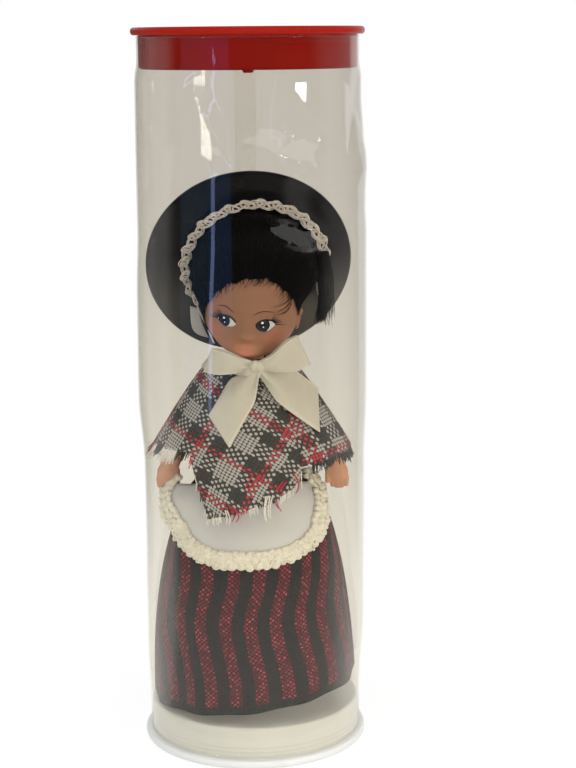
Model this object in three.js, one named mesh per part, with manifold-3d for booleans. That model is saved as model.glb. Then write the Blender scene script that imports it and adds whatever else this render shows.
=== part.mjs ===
// A costume doll in traditional Welsh dress, standing in a clear display tube with a plug at each end.
// Millimetres, +Z up. The doll faces -Y and its own left is +X.
// The origin is the centre of the base's underside.
import * as THREE from "three";
import { mergeVertices } from "three/addons/utils/BufferGeometryUtils.js";
import Module from "manifold-3d";

const wasm = await Module();
wasm.setup();

// Clearances
const SLIDE_FIT = 0.2; // radial, between a plug and the tube
const SEAT_GAP = 0.2; // between faces that rest on each other
const CLEAR = 0.4; // between soft or glued pieces that lie on each other

// Display tube
const TUBE_DIAMETER = 64;
const TUBE_WALL = 0.4;
const TUBE_LENGTH = 207.2;
const SEAM_WIDTH = 6.6; // the rolled sheet overlaps itself here, behind the doll
const SEAM_ANGLE = 3; // degrees from straight behind
const ROUND = 36; // sides of the tube and plugs

// Plugs that close the tube
const FLANGE_LIP = 1.6; // how far the flange stands out past the tube
const FLANGE_THICKNESS = 2.2;
const PLUG_DEPTH = 9.5; // skirt inside the tube
const PLUG_WALL = 1.3;
const PLUG_RIBS = 2;
const RIB_HEIGHT = 0.1;
const RIB_PITCH = 1.5;
const GATE_DIAMETER = 3.6; // moulding gate left on the middle of the deck
const GATE_HEIGHT = 1.3;
const EDGE_ROUND = 0.6;

// Doll's body
const HIP_HEIGHT = 58; // hip axis above the deck
const HIP_WIDTH = 9; // between the flat sides that the legs turn against
const THIGH_RADIUS = 6.6;
const ANKLE_RADIUS = 3.4;
const SHOE_LENGTH = 15;
const SHOE_WIDTH = 8.4;
const SHOE_HEIGHT = 7;
const TORSO_HEIGHT = 49;
const TORSO_BELOW_HIP = 6.5;
const CHEST_WIDTH = 24;
const CHEST_DEPTH = 17;
const WAIST_WIDTH = 19.4;
const BODY_WALL = 1.6;
const WAIST_ABOVE_HIP = 13;
const SHOULDER_ABOVE_HIP = 37.5;
const SHOULDER_WIDTH = 18; // between the flat sides that the arms turn against
const LIMB_HOLE_DIAMETER = 4;
const PEG_DIAMETER = 3;
const PEG_LENGTH = 2.6;
const ELASTIC_DIAMETER = 1.6;
const UPPER_ARM_RADIUS = 3.6;
const WRIST_RADIUS = 2.8;
const HAND_RADIUS = 3.8;
const ARM_DROP = 30; // shoulder axis to fingertips
const ELBOW_BACK = 0.6;
const HAND_FORWARD = 2;
const HAND_TO_TUBE = 2.4;

// Neck and head
const NECK_DIAMETER = 7.4;
const NECK_HEIGHT = 5.4; // from the top of the torso to the underside of the head's lip
const KNOB_DIAMETER = 9.4;
const KNOB_HEIGHT = 3.6;
const HEAD_WALL = 1.8;
const HEAD_WIDTH = 27;
const HEAD_DEPTH = 29;
const HEAD_HEIGHT = 37;
const EAR_THICKNESS = 2.6;
const EAR_DEPTH = 4.4;
const EAR_HEIGHT = 6.4;
const HEAD_NOD = 7; // degrees
const HEAD_ROLL = 6;
const HEAD_YAW = -5.5;
const HEAD_FORWARD = 2.2; // centre of the head ahead of the neck
const HEAD_ASIDE = 0.8;
const CHIN_FORWARD = 2.6;
const HAIR_WIDTH = 36;
const HAIR_DEPTH = 35;
const HAIR_HEIGHT = 37;
const HAIR_ASIDE = 1.3; // the hair leans with the head
const HAIR_ABOVE_HEAD = 5; // centre of the hair above the centre of the head
const HAIR_AHEAD = 12; // how far the hair inside the crown reaches ahead of the brim
const HAIRLINE = 6; // top of the face opening above the centre of the head
const LOCK_ASIDE = 22; // side lock of hair, which hangs clear of the ear
const LOCK_TOP = 13.5; // above the centre of the head
const LOCK_LENGTH = 23;
const LOCK_RADIUS = 2.5;

// Hat
const BRIM_TO_TUBE = 1.2;
const BRIM_THICKNESS = 0.8;
const BRIM_TILT = 66.4; // degrees back from level
const BRIM_TURN = 6;
const BRIM_ASIDE = -0.5;
const BRIM_BEHIND_NECK = 3.2;
const BRIM_ABOVE_HEAD = 7.4; // centre of the brim above the centre of the head
const HAT_OPENING = 38.4;
const HAT_ASIDE = 1.9; // centre of the opening from the centre of the brim
const HAT_BELOW = 0.6;
const CROWN_HEIGHT = 18;
const CROWN_TOP_DIAMETER = 28;
const HAT_CARD = 0.7;
const BONNET_LACE_WIDTH = 2.9;
const BONNET_LACE_THICKNESS = 1.6;
const BONNET_LACE_START = -212; // degrees round the opening, where -90 is the top
const BONNET_LACE_END = 2;
const BONNET_SCALLOPS = 20;

// Skirt and petticoat
const HEM_ABOVE_DECK = 4.4;
const HEM_SLANT = 2.6; // the hem hangs lower on the doll's right by this much
const HEM_TO_TUBE = 1.2;
const SKIRT_THICKNESS = 0.7;
const SKIRT_FOLDS = 11;
const WAIST_PUFF = 5; // how far the gathers stand out just below the waist
const PUFF_STEEPNESS = 25;
const BELL_FULLNESS = 2.2; // how much of the flare comes early on the way to the hem
const FOLD_DEPTH = 0.7;
const WAISTBAND_HEIGHT = 4;
const WAISTBAND_THICKNESS = 0.9;
const PETTICOAT_THICKNESS = 0.5;
const PETTICOAT_SHORTER = 3;

// Apron
const APRON_DROP = 19; // from the waist to the bottom of the cloth
const APRON_WIDTH = 48; // round the skirt
const APRON_ASIDE = -0.6;
const APRON_SQUARENESS = 0.72; // 1 is a half ellipse, and less has fuller corners
const APRON_THICKNESS = 0.5;
const APRON_LACE_WIDTH = 5;
const APRON_LACE_THICKNESS = 1.5;
const APRON_SCALLOPS = 17;
const APRON_BAND_HEIGHT = 3;

// Shawl and ribbon
const SHAWL_THICKNESS = 0.9;
const SHAWL_TO_TUBE = 1.6;
const SHAWL_SIDE_DROP = 17.7; // from the shoulder axis to the side edge
const SHAWL_NECK_GAP = 4.4;
const SHAWL_FRONT_DROP = 30.5;
const SHAWL_BACK_DROP = 27;
const SHAWL_DEPTH = 23.4; // front and back, at the fall below
const SHAWL_FALL = 29.9; // from the neck to where the shawl is that deep
const SHAWL_RUCK = 0.5;
const RIBBON_WIDTH = 9.5;
const RIBBON_THICKNESS = 0.5;
const BOW_LOOP_LENGTH = 13.4;
const BOW_LOOP_DEPTH = 4;
const BOW_LOOP_RISE = 8; // degrees
const KNOT_SIZE = 4.6;
const KNOT_ASIDE = 1.9;
const RIGHT_TAIL = { lean: -31.5, length: 21.5, slant: 1.9 }; // degrees and millimetres
const LEFT_TAIL = { lean: 52.8, length: 22.5, slant: -3.9 };

// Places that follow from the sizes
const tubeInside = TUBE_DIAMETER / 2 - TUBE_WALL;
const plugRadius = tubeInside - SLIDE_FIT;
const flangeRadius = TUBE_DIAMETER / 2 + FLANGE_LIP;
const deckZ = FLANGE_THICKNESS + PLUG_DEPTH;
const tubeBottom = FLANGE_THICKNESS + SEAT_GAP;
const overallHeight = tubeBottom + TUBE_LENGTH + SEAT_GAP + FLANGE_THICKNESS;
const soleZ = deckZ + SEAT_GAP + CLEAR / 4;
const hipZ = deckZ + HIP_HEIGHT;
const waistZ = hipZ + WAIST_ABOVE_HIP;
const shoulderZ = hipZ + SHOULDER_ABOVE_HIP;
const torsoBottom = hipZ - TORSO_BELOW_HIP;
const torsoTop = torsoBottom + TORSO_HEIGHT;
const headBottom = torsoTop + NECK_HEIGHT;
const headCentreZ = headBottom + HEAD_HEIGHT / 2;
const brimRadius = tubeInside - BRIM_TO_TUBE;
const hemZ = deckZ + HEM_ABOVE_DECK;
const hemRadius = tubeInside - HEM_TO_TUBE - FOLD_DEPTH;
const shawlReach = tubeInside - SHAWL_TO_TUBE;

const materials = {
  redPlastic: plastic(0xb01c14, 0.42),
  whitePlastic: plastic(0xdedad0, 0.45),
  clearPlastic: new THREE.MeshStandardMaterial({
    color: 0xd8d2c4, roughness: 0.08, metalness: 0, transparent: true, opacity: 0.2,
  }),
  skinVinyl: plastic(0xc98e6b, 0.5),
  bodyPlastic: plastic(0xd09a78, 0.45),
  shoeVinyl: plastic(0x161516, 0.35),
  rubber: plastic(0x8f8577, 0.8),
  hair: plastic(0x0b0a0b, 0.4),
  hatCard: plastic(0x1d1d20, 0.3),
  bonnetLace: plastic(0xcfc9c2, 0.9),
  tartan: plastic(0x4a3c40, 0.95),
  satin: plastic(0xd9d1b8, 0.4),
  apronCotton: plastic(0xd2d2d2, 0.85),
  apronLace: plastic(0xe3dcc6, 0.9),
  flannel: plastic(0x35191f, 0.95),
  petticoatCotton: plastic(0xe8e6e0, 0.9),
};

function plastic(color, roughness) {
  return new THREE.MeshStandardMaterial({ color, roughness, metalness: 0 });
}

// Solids and meshes

function solid(geometry) {
  const bare = geometry.index ? geometry.toNonIndexed() : geometry.clone();
  for (const name of Object.keys(bare.attributes)) if (name !== "position") bare.deleteAttribute(name);
  const merged = mergeVertices(bare, 1e-4);
  const corners = merged.index.array;
  const triVerts = [];
  for (let i = 0; i < corners.length; i += 3) {
    const [a, b, c] = corners.slice(i, i + 3);
    if (a !== b && b !== c && c !== a) triVerts.push(a, b, c);
  }
  const made = fromTriangles(merged.attributes.position.array, triVerts);
  return made.volume() < 0 ? fromTriangles(merged.attributes.position.array, triVerts.reverse()) : made;
}

function fromTriangles(vertProperties, triVerts) {
  const mesh = new wasm.Mesh({ numProp: 3, vertProperties, triVerts: new Uint32Array(triVerts) });
  return new wasm.Manifold(mesh);
}

function geometryOf(made) {
  const { vertProperties, triVerts } = made.getMesh();
  const geometry = new THREE.BufferGeometry();
  geometry.setAttribute("position", new THREE.BufferAttribute(vertProperties, 3));
  geometry.setIndex(new THREE.BufferAttribute(triVerts, 1));
  geometry.computeVertexNormals();
  return geometry;
}

function piece(name, made, material) {
  const mesh = new THREE.Mesh(geometryOf(made), material);
  mesh.name = name;
  return mesh;
}

// The main body of a cut solid, without loose slivers.
function largest(made) {
  return made.decompose().sort((a, b) => b.volume() - a.volume())[0];
}

// Each vertex of a geometry is moved by a function of its place.
function shaped(geometry, move) {
  const positions = geometry.attributes.position;
  const point = new THREE.Vector3();
  for (let i = 0; i < positions.count; i++) {
    point.fromBufferAttribute(positions, i);
    const moved = move(point);
    positions.setXYZ(i, moved.x, moved.y, moved.z);
  }
  return geometry;
}

// A profile of [radius, height] turned about Z, starting at the front.
function turned(profile, sides = ROUND) {
  const points = profile.map(([radius, height]) => new THREE.Vector2(radius, height));
  return new THREE.LatheGeometry(points, sides).rotateX(Math.PI / 2);
}

function ball(width, depth, height, sides = 24, rings = 14) {
  return new THREE.SphereGeometry(0.5, sides, rings).rotateX(Math.PI / 2).scale(width, depth, height);
}

function rod(diameter, length, sides = 16) {
  return new THREE.CylinderGeometry(diameter / 2, diameter / 2, length, sides).rotateX(Math.PI / 2);
}

function block(x, y, z) {
  return new THREE.BoxGeometry(x, y, z);
}

// A round limb along a smooth curve, whose radius is given at even steps.
function limb(points, radii, sides = 14, steps = 12) {
  const path = new THREE.CatmullRomCurve3(points.map((p) => new THREE.Vector3(...p)));
  const widths = new THREE.SplineCurve(radii.map((radius, i) => new THREE.Vector2(i, radius)));
  const across = new THREE.Vector3();
  const ahead = new THREE.Vector3();
  const tube = new THREE.CylinderGeometry(1, 1, 1, sides, steps).rotateX(Math.PI / 2);
  return shaped(tube, (p) => {
    const t = THREE.MathUtils.clamp(p.z + 0.5, 0, 1);
    const radius = widths.getPoint(t).y;
    const along = path.getTangent(t);
    across.crossVectors(new THREE.Vector3(0, 1, 0), along).normalize();
    ahead.crossVectors(along, across);
    return path.getPoint(t).addScaledVector(across, p.x * radius).addScaledVector(ahead, p.y * radius);
  });
}

const degrees = THREE.MathUtils.degToRad;
const mix = THREE.MathUtils.lerp;
const ease = THREE.MathUtils.smoothstep;

// Tube and plugs

function clearTube() {
  const outside = TUBE_DIAMETER / 2;
  const wall = turned([
    [tubeInside, 0], [outside, 0], [outside, TUBE_LENGTH], [tubeInside, TUBE_LENGTH], [tubeInside, 0],
  ]);
  const halfTurn = SEAM_WIDTH / TUBE_DIAMETER;
  const strip = new THREE.Shape();
  strip.absarc(0, 0, outside + TUBE_WALL, Math.PI / 2 - halfTurn, Math.PI / 2 + halfTurn);
  strip.absarc(0, 0, tubeInside + TUBE_WALL / 4, Math.PI / 2 + halfTurn, Math.PI / 2 - halfTurn, true);
  strip.closePath();
  const seam = new THREE.ExtrudeGeometry(strip, { depth: TUBE_LENGTH, bevelEnabled: false, curveSegments: 4 })
    .rotateZ(degrees(SEAM_ANGLE));
  return solid(wall).add(solid(seam)).translate([0, 0, tubeBottom]);
}

// Flange at the bottom, ribbed skirt above it and a closed deck on top.
function plug() {
  const recess = plugRadius - PLUG_WALL;
  const ribs = [];
  for (let i = 1; i <= PLUG_RIBS; i++) {
    const z = FLANGE_THICKNESS + RIB_PITCH * i;
    ribs.push([plugRadius, z - RIB_PITCH / 4], [plugRadius + RIB_HEIGHT, z], [plugRadius, z + RIB_PITCH / 4]);
  }
  const profile = [
    [0, deckZ - PLUG_WALL],
    [recess, deckZ - PLUG_WALL],
    [recess, 0],
    [flangeRadius - EDGE_ROUND, 0],
    [flangeRadius, EDGE_ROUND],
    [flangeRadius, FLANGE_THICKNESS - EDGE_ROUND],
    [flangeRadius - EDGE_ROUND, FLANGE_THICKNESS],
    [plugRadius, FLANGE_THICKNESS],
    ...ribs,
    [plugRadius, deckZ - EDGE_ROUND],
    [plugRadius - EDGE_ROUND, deckZ],
    [GATE_DIAMETER / 2, deckZ],
    [GATE_DIAMETER / 3, deckZ + GATE_HEIGHT],
    [0, deckZ + GATE_HEIGHT],
  ];
  return solid(turned(profile));
}

// Body: two hollow halves that hold the neck knob, with flat sides for the limbs

function torsoOuter(shrink) {
  const half = TORSO_HEIGHT / 2 - shrink;
  const squareness = 3.4;
  return shaped(ball(2, 2, 2, shrink ? 12 : 20, shrink ? 8 : 12), (p) => {
    const round = Math.hypot(p.x, p.y) || 1;
    const fill = Math.pow(1 - Math.pow(Math.abs(p.z), squareness), 1 / squareness);
    const level = p.z * half + torsoBottom + TORSO_HEIGHT / 2;
    const waisted = Math.exp(-Math.pow((level - waistZ - WAISTBAND_HEIGHT / 2) / 10, 2));
    const width = mix(CHEST_WIDTH, WAIST_WIDTH, waisted) / 2 - shrink;
    const depth = mix(CHEST_DEPTH, CHEST_DEPTH - 1.5, waisted) / 2 - shrink;
    return new THREE.Vector3((p.x / round) * width * fill, (p.y / round) * depth * fill, level);
  });
}

function torso() {
  const overlap = 1; // the neck starts this far inside the torso
  const knobZ = headBottom + HEAD_WALL + SEAT_GAP;
  const neck = turned([
    [0, torsoTop - overlap],
    [NECK_DIAMETER / 2, torsoTop - overlap],
    [NECK_DIAMETER / 2, knobZ],
    [KNOB_DIAMETER / 2, knobZ + KNOB_HEIGHT / 4],
    [KNOB_DIAMETER / 2 - 1, knobZ + KNOB_HEIGHT],
    [0, knobZ + KNOB_HEIGHT],
  ], 20);
  const hipTall = 2 * (THIGH_RADIUS + CLEAR);
  const shoulderTall = 2 * (torsoTop - shoulderZ);
  const beside = (side, width, tall, z) => solid(block(CHEST_WIDTH, CHEST_DEPTH * 2, tall)
    .translate(side * (width + CHEST_WIDTH) / 2, 0, z));
  const limbHole = (z) => solid(rod(LIMB_HOLE_DIAMETER, CHEST_WIDTH * 2).rotateY(Math.PI / 2)
    .translate(0, 0, z));
  let outside = solid(torsoOuter(0));
  let cavity = solid(torsoOuter(BODY_WALL));
  for (const side of [-1, 1]) {
    for (const [width, tall, z] of [[HIP_WIDTH, hipTall, hipZ], [SHOULDER_WIDTH, shoulderTall, shoulderZ]]) {
      outside = outside.subtract(beside(side, width, tall, z));
      cavity = cavity.subtract(beside(side, width - 2 * BODY_WALL, tall + 2 * BODY_WALL, z));
    }
  }
  return outside.add(solid(neck)).subtract(cavity).subtract(limbHole(shoulderZ)).subtract(limbHole(hipZ));
}

function torsoHalf(whole, side) {
  const reach = overallHeight;
  const half = block(reach, reach, reach * 2).translate(0, side * (reach + SEAT_GAP) / 2, 0);
  return whole.intersect(solid(half));
}

// Limbs turn on a peg along X, and an elastic joins the two pegs inside the body.

function peg(side, insideX, z) {
  return solid(rod(PEG_DIAMETER, PEG_LENGTH + 2).rotateY(Math.PI / 2)
    .translate(side * (insideX + (2 - PEG_LENGTH) / 2), 0, z));
}

function arm(side) {
  const shoulderX = SHOULDER_WIDTH / 2 + SEAT_GAP;
  const handX = tubeInside - HAND_TO_TUBE - HAND_RADIUS;
  const middle = shoulderX + UPPER_ARM_RADIUS;
  const at = (t, ahead) => [
    side * mix(middle, handX, t), ahead, shoulderZ - t * (ARM_DROP - HAND_RADIUS / 2),
  ];
  const flesh = limb(
    [[side * middle, 0, shoulderZ + UPPER_ARM_RADIUS], at(0.12, 0), at(0.42, ELBOW_BACK),
      at(0.72, -HAND_FORWARD * 0.2), at(0.88, -HAND_FORWARD * 0.7), at(1.03, -HAND_FORWARD)],
    [UPPER_ARM_RADIUS / 6, UPPER_ARM_RADIUS, UPPER_ARM_RADIUS * 0.86, UPPER_ARM_RADIUS * 0.9, WRIST_RADIUS,
      HAND_RADIUS, HAND_RADIUS * 0.45],
  );
  const thumb = ball(HAND_RADIUS * 0.7, HAND_RADIUS * 0.9, HAND_RADIUS * 1.3, 8, 6)
    .translate(side * (handX - HAND_RADIUS * 0.8), -HAND_FORWARD, shoulderZ - ARM_DROP + HAND_RADIUS * 1.1);
  const disc = UPPER_ARM_RADIUS * 1.1;
  const shoulderDisc = rod(UPPER_ARM_RADIUS * 2, disc, 14).rotateY(Math.PI / 2)
    .translate(side * (shoulderX + disc / 2), 0, shoulderZ);
  const inside = block(shoulderX * 2, CHEST_DEPTH * 2, TORSO_HEIGHT).translate(0, 0, shoulderZ);
  return solid(flesh).add(solid(thumb)).add(solid(shoulderDisc)).subtract(solid(inside))
    .add(peg(side, shoulderX, shoulderZ));
}

function leg(side) {
  const hipX = HIP_WIDTH / 2 + SEAT_GAP;
  const x = side * (hipX + ANKLE_RADIUS);
  const ankleZ = soleZ + SHOE_HEIGHT * 0.45;
  const flesh = limb(
    [[x, 0, hipZ + THIGH_RADIUS], [x, 0, hipZ - 4], [x, -0.6, mix(hipZ, ankleZ, 0.45)],
      [x, 0.8, mix(hipZ, ankleZ, 0.7)], [x, 0, ankleZ]],
    [1, THIGH_RADIUS, THIGH_RADIUS * 0.9, THIGH_RADIUS * 0.72, THIGH_RADIUS * 0.74, ANKLE_RADIUS,
      ANKLE_RADIUS],
    14, 10,
  );
  const inside = block(hipX * 2, CHEST_DEPTH * 2, HIP_HEIGHT * 3).translate(0, 0, hipZ);
  return solid(flesh).subtract(solid(inside)).add(peg(side, hipX, hipZ));
}

// The sole is an arc about the hip, so that the foot clears the deck as the leg swings.
function shoe(side) {
  const x = side * (HIP_WIDTH / 2 + SEAT_GAP + ANKLE_RADIUS);
  const toe = SHOE_LENGTH * 0.16;
  const upper = ball(SHOE_WIDTH, SHOE_LENGTH, SHOE_HEIGHT * 2, 20, 12).translate(x, -toe, soleZ);
  const sole = rod(2 * (hipZ - soleZ), SHOE_WIDTH * 4, 160).rotateY(Math.PI / 2).translate(0, 0, hipZ);
  const ankle = rod(2 * (ANKLE_RADIUS + CLEAR), SHOE_HEIGHT * 2).translate(x, 0, soleZ + SHOE_HEIGHT * 1.35);
  return solid(upper).intersect(solid(sole)).subtract(solid(ankle));
}

function elastic(insideX, z) {
  const length = 2 * (insideX - PEG_LENGTH - SEAT_GAP);
  return solid(rod(ELASTIC_DIAMETER, length, 10).rotateY(Math.PI / 2).translate(0, 0, z));
}

// Head: a hollow vinyl shell that snaps over the neck knob

const headPlace = new THREE.Matrix4()
  .makeRotationFromEuler(new THREE.Euler(degrees(HEAD_NOD), degrees(HEAD_ROLL), degrees(HEAD_YAW), "ZYX"))
  .setPosition(HEAD_ASIDE, -HEAD_FORWARD, headCentreZ);

function bump(p, x, y, z, size) {
  return Math.exp(-((p.x - x) ** 2 + (p.y - y) ** 2 + (p.z - z) ** 2) / size ** 2);
}

// Unit ball to a child's head: full cheeks, small nose and chin, narrow neck.
function headOuter() {
  return shaped(ball(2, 2, 2, 26, 20), (p) => {
    const face = ease(-p.y, 0.1, 0.9);
    const cheeks = 1 + 0.07 * bump(p, 0.75, -0.45, -0.45, 0.45) + 0.07 * bump(p, -0.75, -0.45, -0.45, 0.45);
    const jaw = 1 - 0.12 * ease(-p.z, 0.45, 1);
    const round = Math.sqrt(Math.max(1 - p.z * p.z, 1e-6));
    const full = p.z < 0 ? Math.cbrt(Math.max(1 + p.z ** 3, 0)) / round : 1;
    const nose = 0.13 * bump(p, 0, -0.83, -0.56, 0.13);
    const mouth = 0.05 * bump(p, 0, -0.62, -0.78, 0.17);
    const sockets = -0.035 * (bump(p, 0.4, -0.85, -0.34, 0.17) + bump(p, -0.4, -0.85, -0.34, 0.17));
    const back = p.y > 0 ? 0.92 : 1;
    const out = cheeks + face * (nose + mouth + sockets);
    const chin = CHIN_FORWARD * bump(p, 0, -0.36, -0.93, 0.3);
    return new THREE.Vector3(
      p.x * (HEAD_WIDTH / 2) * out * jaw * full, p.y * (HEAD_DEPTH / 2) * out * full * back - chin,
      p.z * (HEAD_HEIGHT / 2),
    );
  });
}

function ear(side, grow = 0) {
  return ball(EAR_THICKNESS + grow, EAR_DEPTH + grow, EAR_HEIGHT + grow, 8, 6)
    .translate(side * HEAD_WIDTH / 2, 0.5, -HEAD_HEIGHT * 0.17);
}

function headSolid() {
  return solid(headOuter().applyMatrix4(headPlace))
    .add(solid(ear(-1).applyMatrix4(headPlace)))
    .add(solid(ear(1).applyMatrix4(headPlace)));
}

function head() {
  const cavity = ball(
    HEAD_WIDTH - 2 * HEAD_WALL - 1, HEAD_DEPTH - 2 * HEAD_WALL - 1, HEAD_HEIGHT - 2 * HEAD_WALL, 14, 10,
  ).applyMatrix4(headPlace);
  const knobRoom = rod(KNOB_DIAMETER + 4 * CLEAR, KNOB_HEIGHT + 4, 20)
    .translate(0, 0, headBottom + HEAD_WALL + (KNOB_HEIGHT + 4) / 2);
  const lip = rod(NECK_DIAMETER + 2 * CLEAR, 4 * HEAD_WALL, 20).translate(0, 0, headBottom);
  const under = block(HEAD_WIDTH, HEAD_DEPTH, HEAD_HEIGHT)
    .translate(0, HEAD_DEPTH / 4, headBottom - HEAD_HEIGHT / 2);
  const shell = headSolid().subtract(solid(cavity)).subtract(solid(knobRoom));
  return largest(shell.subtract(solid(lip)).subtract(solid(under)));
}

// Hat: its own frame has the crown along +Z and the front of the brim below

const hatPlace = new THREE.Matrix4()
  .makeRotationFromEuler(new THREE.Euler(degrees(-BRIM_TILT), 0, degrees(BRIM_TURN), "ZYX"))
  .setPosition(BRIM_ASIDE, BRIM_BEHIND_NECK, headCentreZ + BRIM_ABOVE_HEAD);

function onHat(geometry) {
  return solid(geometry.applyMatrix4(hatPlace));
}

function hatBrim() {
  const disc = new THREE.Shape().absarc(0, 0, brimRadius, 0, 2 * Math.PI);
  disc.holes.push(new THREE.Path().absarc(HAT_ASIDE, HAT_BELOW, HAT_OPENING / 2, 0, 2 * Math.PI));
  return onHat(new THREE.ExtrudeGeometry(disc, {
    depth: BRIM_THICKNESS, bevelEnabled: false, curveSegments: 28,
  }));
}

const crownFoot = BRIM_THICKNESS + SEAT_GAP;

function hatCrown() {
  const foot = HAT_OPENING / 2 + HAT_CARD;
  const top = CROWN_TOP_DIAMETER / 2 + HAT_CARD;
  const profile = [
    [foot, crownFoot], [top, crownFoot + CROWN_HEIGHT],
    [top - HAT_CARD, crownFoot + CROWN_HEIGHT], [foot - HAT_CARD, crownFoot], [foot, crownFoot],
  ];
  return onHat(turned(profile, 36).translate(HAT_ASIDE, HAT_BELOW, 0));
}

function hatTop() {
  const disc = rod(CROWN_TOP_DIAMETER + 2 * HAT_CARD, HAT_CARD, 36);
  return onHat(disc.translate(HAT_ASIDE, HAT_BELOW, crownFoot + CROWN_HEIGHT + SEAT_GAP + HAT_CARD / 2));
}

// Scalloped band along an arc, glued to the front of the brim round its opening.
function bonnetLace() {
  const inner = HAT_OPENING / 2 + CLEAR;
  const steps = BONNET_SCALLOPS * 2;
  const strip = new THREE.BoxGeometry(1, 1, 1, 1, steps, 1);
  return onHat(shaped(strip, (p) => {
    const angle = degrees(mix(BONNET_LACE_START, BONNET_LACE_END, p.y + 0.5));
    const step = Math.round((p.y + 0.5) * steps);
    const scallop = step % 2 ? 0.4 : 0;
    const radius = inner + (p.x + 0.5) * BONNET_LACE_WIDTH - (p.x > 0 ? scallop : 0);
    const depth = -SEAT_GAP - (0.5 - p.z) * BONNET_LACE_THICKNESS;
    const across = HAT_ASIDE + Math.cos(angle) * radius;
    return new THREE.Vector3(across, HAT_BELOW + Math.sin(angle) * radius, depth);
  }));
}

// Rooted hair: a full mass round the skull, with the face left open and its back inside the crown.
function hair() {
  const mass = solid(ball(HAIR_WIDTH, HAIR_DEPTH, HAIR_HEIGHT, 24, 16)
    .translate(HAIR_ASIDE, -HEAD_FORWARD, headCentreZ + HAIR_ABOVE_HEAD));
  const reach = HAIR_WIDTH * 3;
  const front = onHat(block(reach, reach, reach)
    .translate(0, 0, -reach / 2 - CLEAR - SEAT_GAP - BONNET_LACE_THICKNESS));
  const insideCrown = onHat(turned([
    [0, -HAIR_AHEAD], [HAT_OPENING / 2 - CLEAR, -HAIR_AHEAD], [HAT_OPENING / 2 - CLEAR, crownFoot],
    [CROWN_TOP_DIAMETER / 2 - CLEAR, crownFoot + CROWN_HEIGHT], [0, crownFoot + CROWN_HEIGHT],
  ], 32).translate(HAT_ASIDE, HAT_BELOW, 0));
  const lockAt = (aside, ahead, down) => [
    LOCK_ASIDE * aside, -HEAD_FORWARD * ahead, headCentreZ + LOCK_TOP - LOCK_LENGTH * down,
  ];
  const lock = solid(limb(
    [lockAt(0.62, 2, 0), lockAt(0.93, 0.9, 0.12), lockAt(1, -0.7, 0.43), lockAt(1.01, -1.3, 0.7),
      lockAt(0.95, -1.8, 1)],
    [LOCK_RADIUS, LOCK_RADIUS, LOCK_RADIUS, LOCK_RADIUS * 0.8, LOCK_RADIUS * 0.4], 10, 10,
  ));
  const arch = new THREE.Shape();
  const cheek = HEAD_WIDTH / 2 - 0.4;
  arch.moveTo(-cheek, -HEAD_HEIGHT / 2);
  arch.lineTo(-cheek, -HEAD_HEIGHT * 0.14);
  arch.bezierCurveTo(-cheek, HEAD_HEIGHT * 0.08, -cheek * 0.5, HAIRLINE, 0, HAIRLINE);
  arch.bezierCurveTo(cheek * 0.5, HAIRLINE, cheek, HEAD_HEIGHT * 0.08, cheek, -HEAD_HEIGHT * 0.14);
  arch.lineTo(cheek, -HEAD_HEIGHT / 2);
  arch.closePath();
  const deep = { depth: HEAD_DEPTH, bevelEnabled: false, curveSegments: 8 };
  const opening = new THREE.ExtrudeGeometry(arch, deep).rotateX(Math.PI / 2);
  const face = solid(opening.translate(0, -HEAD_DEPTH * 0.14, 0).applyMatrix4(headPlace));
  const scalp = solid(headOuter().scale(1.03, 1.03, 1.03).applyMatrix4(headPlace))
    .add(solid(ear(-1, 2 * CLEAR).applyMatrix4(headPlace)))
    .add(solid(ear(1, 2 * CLEAR).applyMatrix4(headPlace)));
  const whole = mass.intersect(front).add(mass.intersect(insideCrown)).add(lock).subtract(face)
    .subtract(scalp);
  return largest(whole);
}

// Skirt: a bell that flares from the waist, with shallow folds that deepen to the hem

const waistRadius = WAIST_WIDTH / 2 + CLEAR;
const waistSquash = CHEST_DEPTH / WAIST_WIDTH;
const bellTop = waistRadius + PETTICOAT_THICKNESS + 2 * CLEAR;

// Radius of the bell at a level that is 0 at the waist and 1 at the hem.
function bellRadius(level) {
  const flare = (1 - Math.exp(-BELL_FULLNESS * level)) / (1 - Math.exp(-BELL_FULLNESS));
  const puff = WAIST_PUFF * (1 - Math.exp(-PUFF_STEEPNESS * level));
  return bellTop + puff + (hemRadius - bellTop - WAIST_PUFF) * flare;
}

// A point on the bell's outside, pushed out by a given distance.
function onBell(angle, level, out) {
  const radius = bellRadius(level) + out;
  const squash = mix(waistSquash, 1, ease(level, 0, 0.3));
  const slant = HEM_SLANT * level * Math.sin(angle);
  return new THREE.Vector3(
    Math.sin(angle) * radius, -Math.cos(angle) * radius * squash, mix(waistZ, hemZ, level) + slant,
  );
}

// A hollow cylinder from z = 0 to 1, with its outer wall at radius 1 and its inner wall at 0.5.
function openShell(sides, rings) {
  const profile = [];
  for (let i = 0; i <= rings; i++) profile.push([1, i / rings]);
  for (let i = rings; i >= 0; i--) profile.push([0.5, i / rings]);
  profile.push(profile[0]);
  return turned(profile, sides);
}

function bellShell(outside, thickness, from, to, folds, sides, rings) {
  return solid(shaped(openShell(sides, rings), (p) => {
    const angle = Math.atan2(p.x, -p.y);
    const outer = Math.hypot(p.x, p.y) > 0.75;
    const level = mix(from, to, p.z * p.z);
    const fold = folds ? FOLD_DEPTH * level * Math.cos(SKIRT_FOLDS * angle) : 0;
    return onBell(angle, level, fold + outside - (outer ? 0 : thickness));
  }));
}

function skirt() {
  return bellShell(0, SKIRT_THICKNESS, 0, 1, true, SKIRT_FOLDS * 5, 8);
}

function petticoat() {
  const inside = -SKIRT_THICKNESS - FOLD_DEPTH - CLEAR;
  return bellShell(inside, PETTICOAT_THICKNESS, 0.08, 1 - PETTICOAT_SHORTER / (waistZ - hemZ), false, 30, 5);
}

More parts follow.
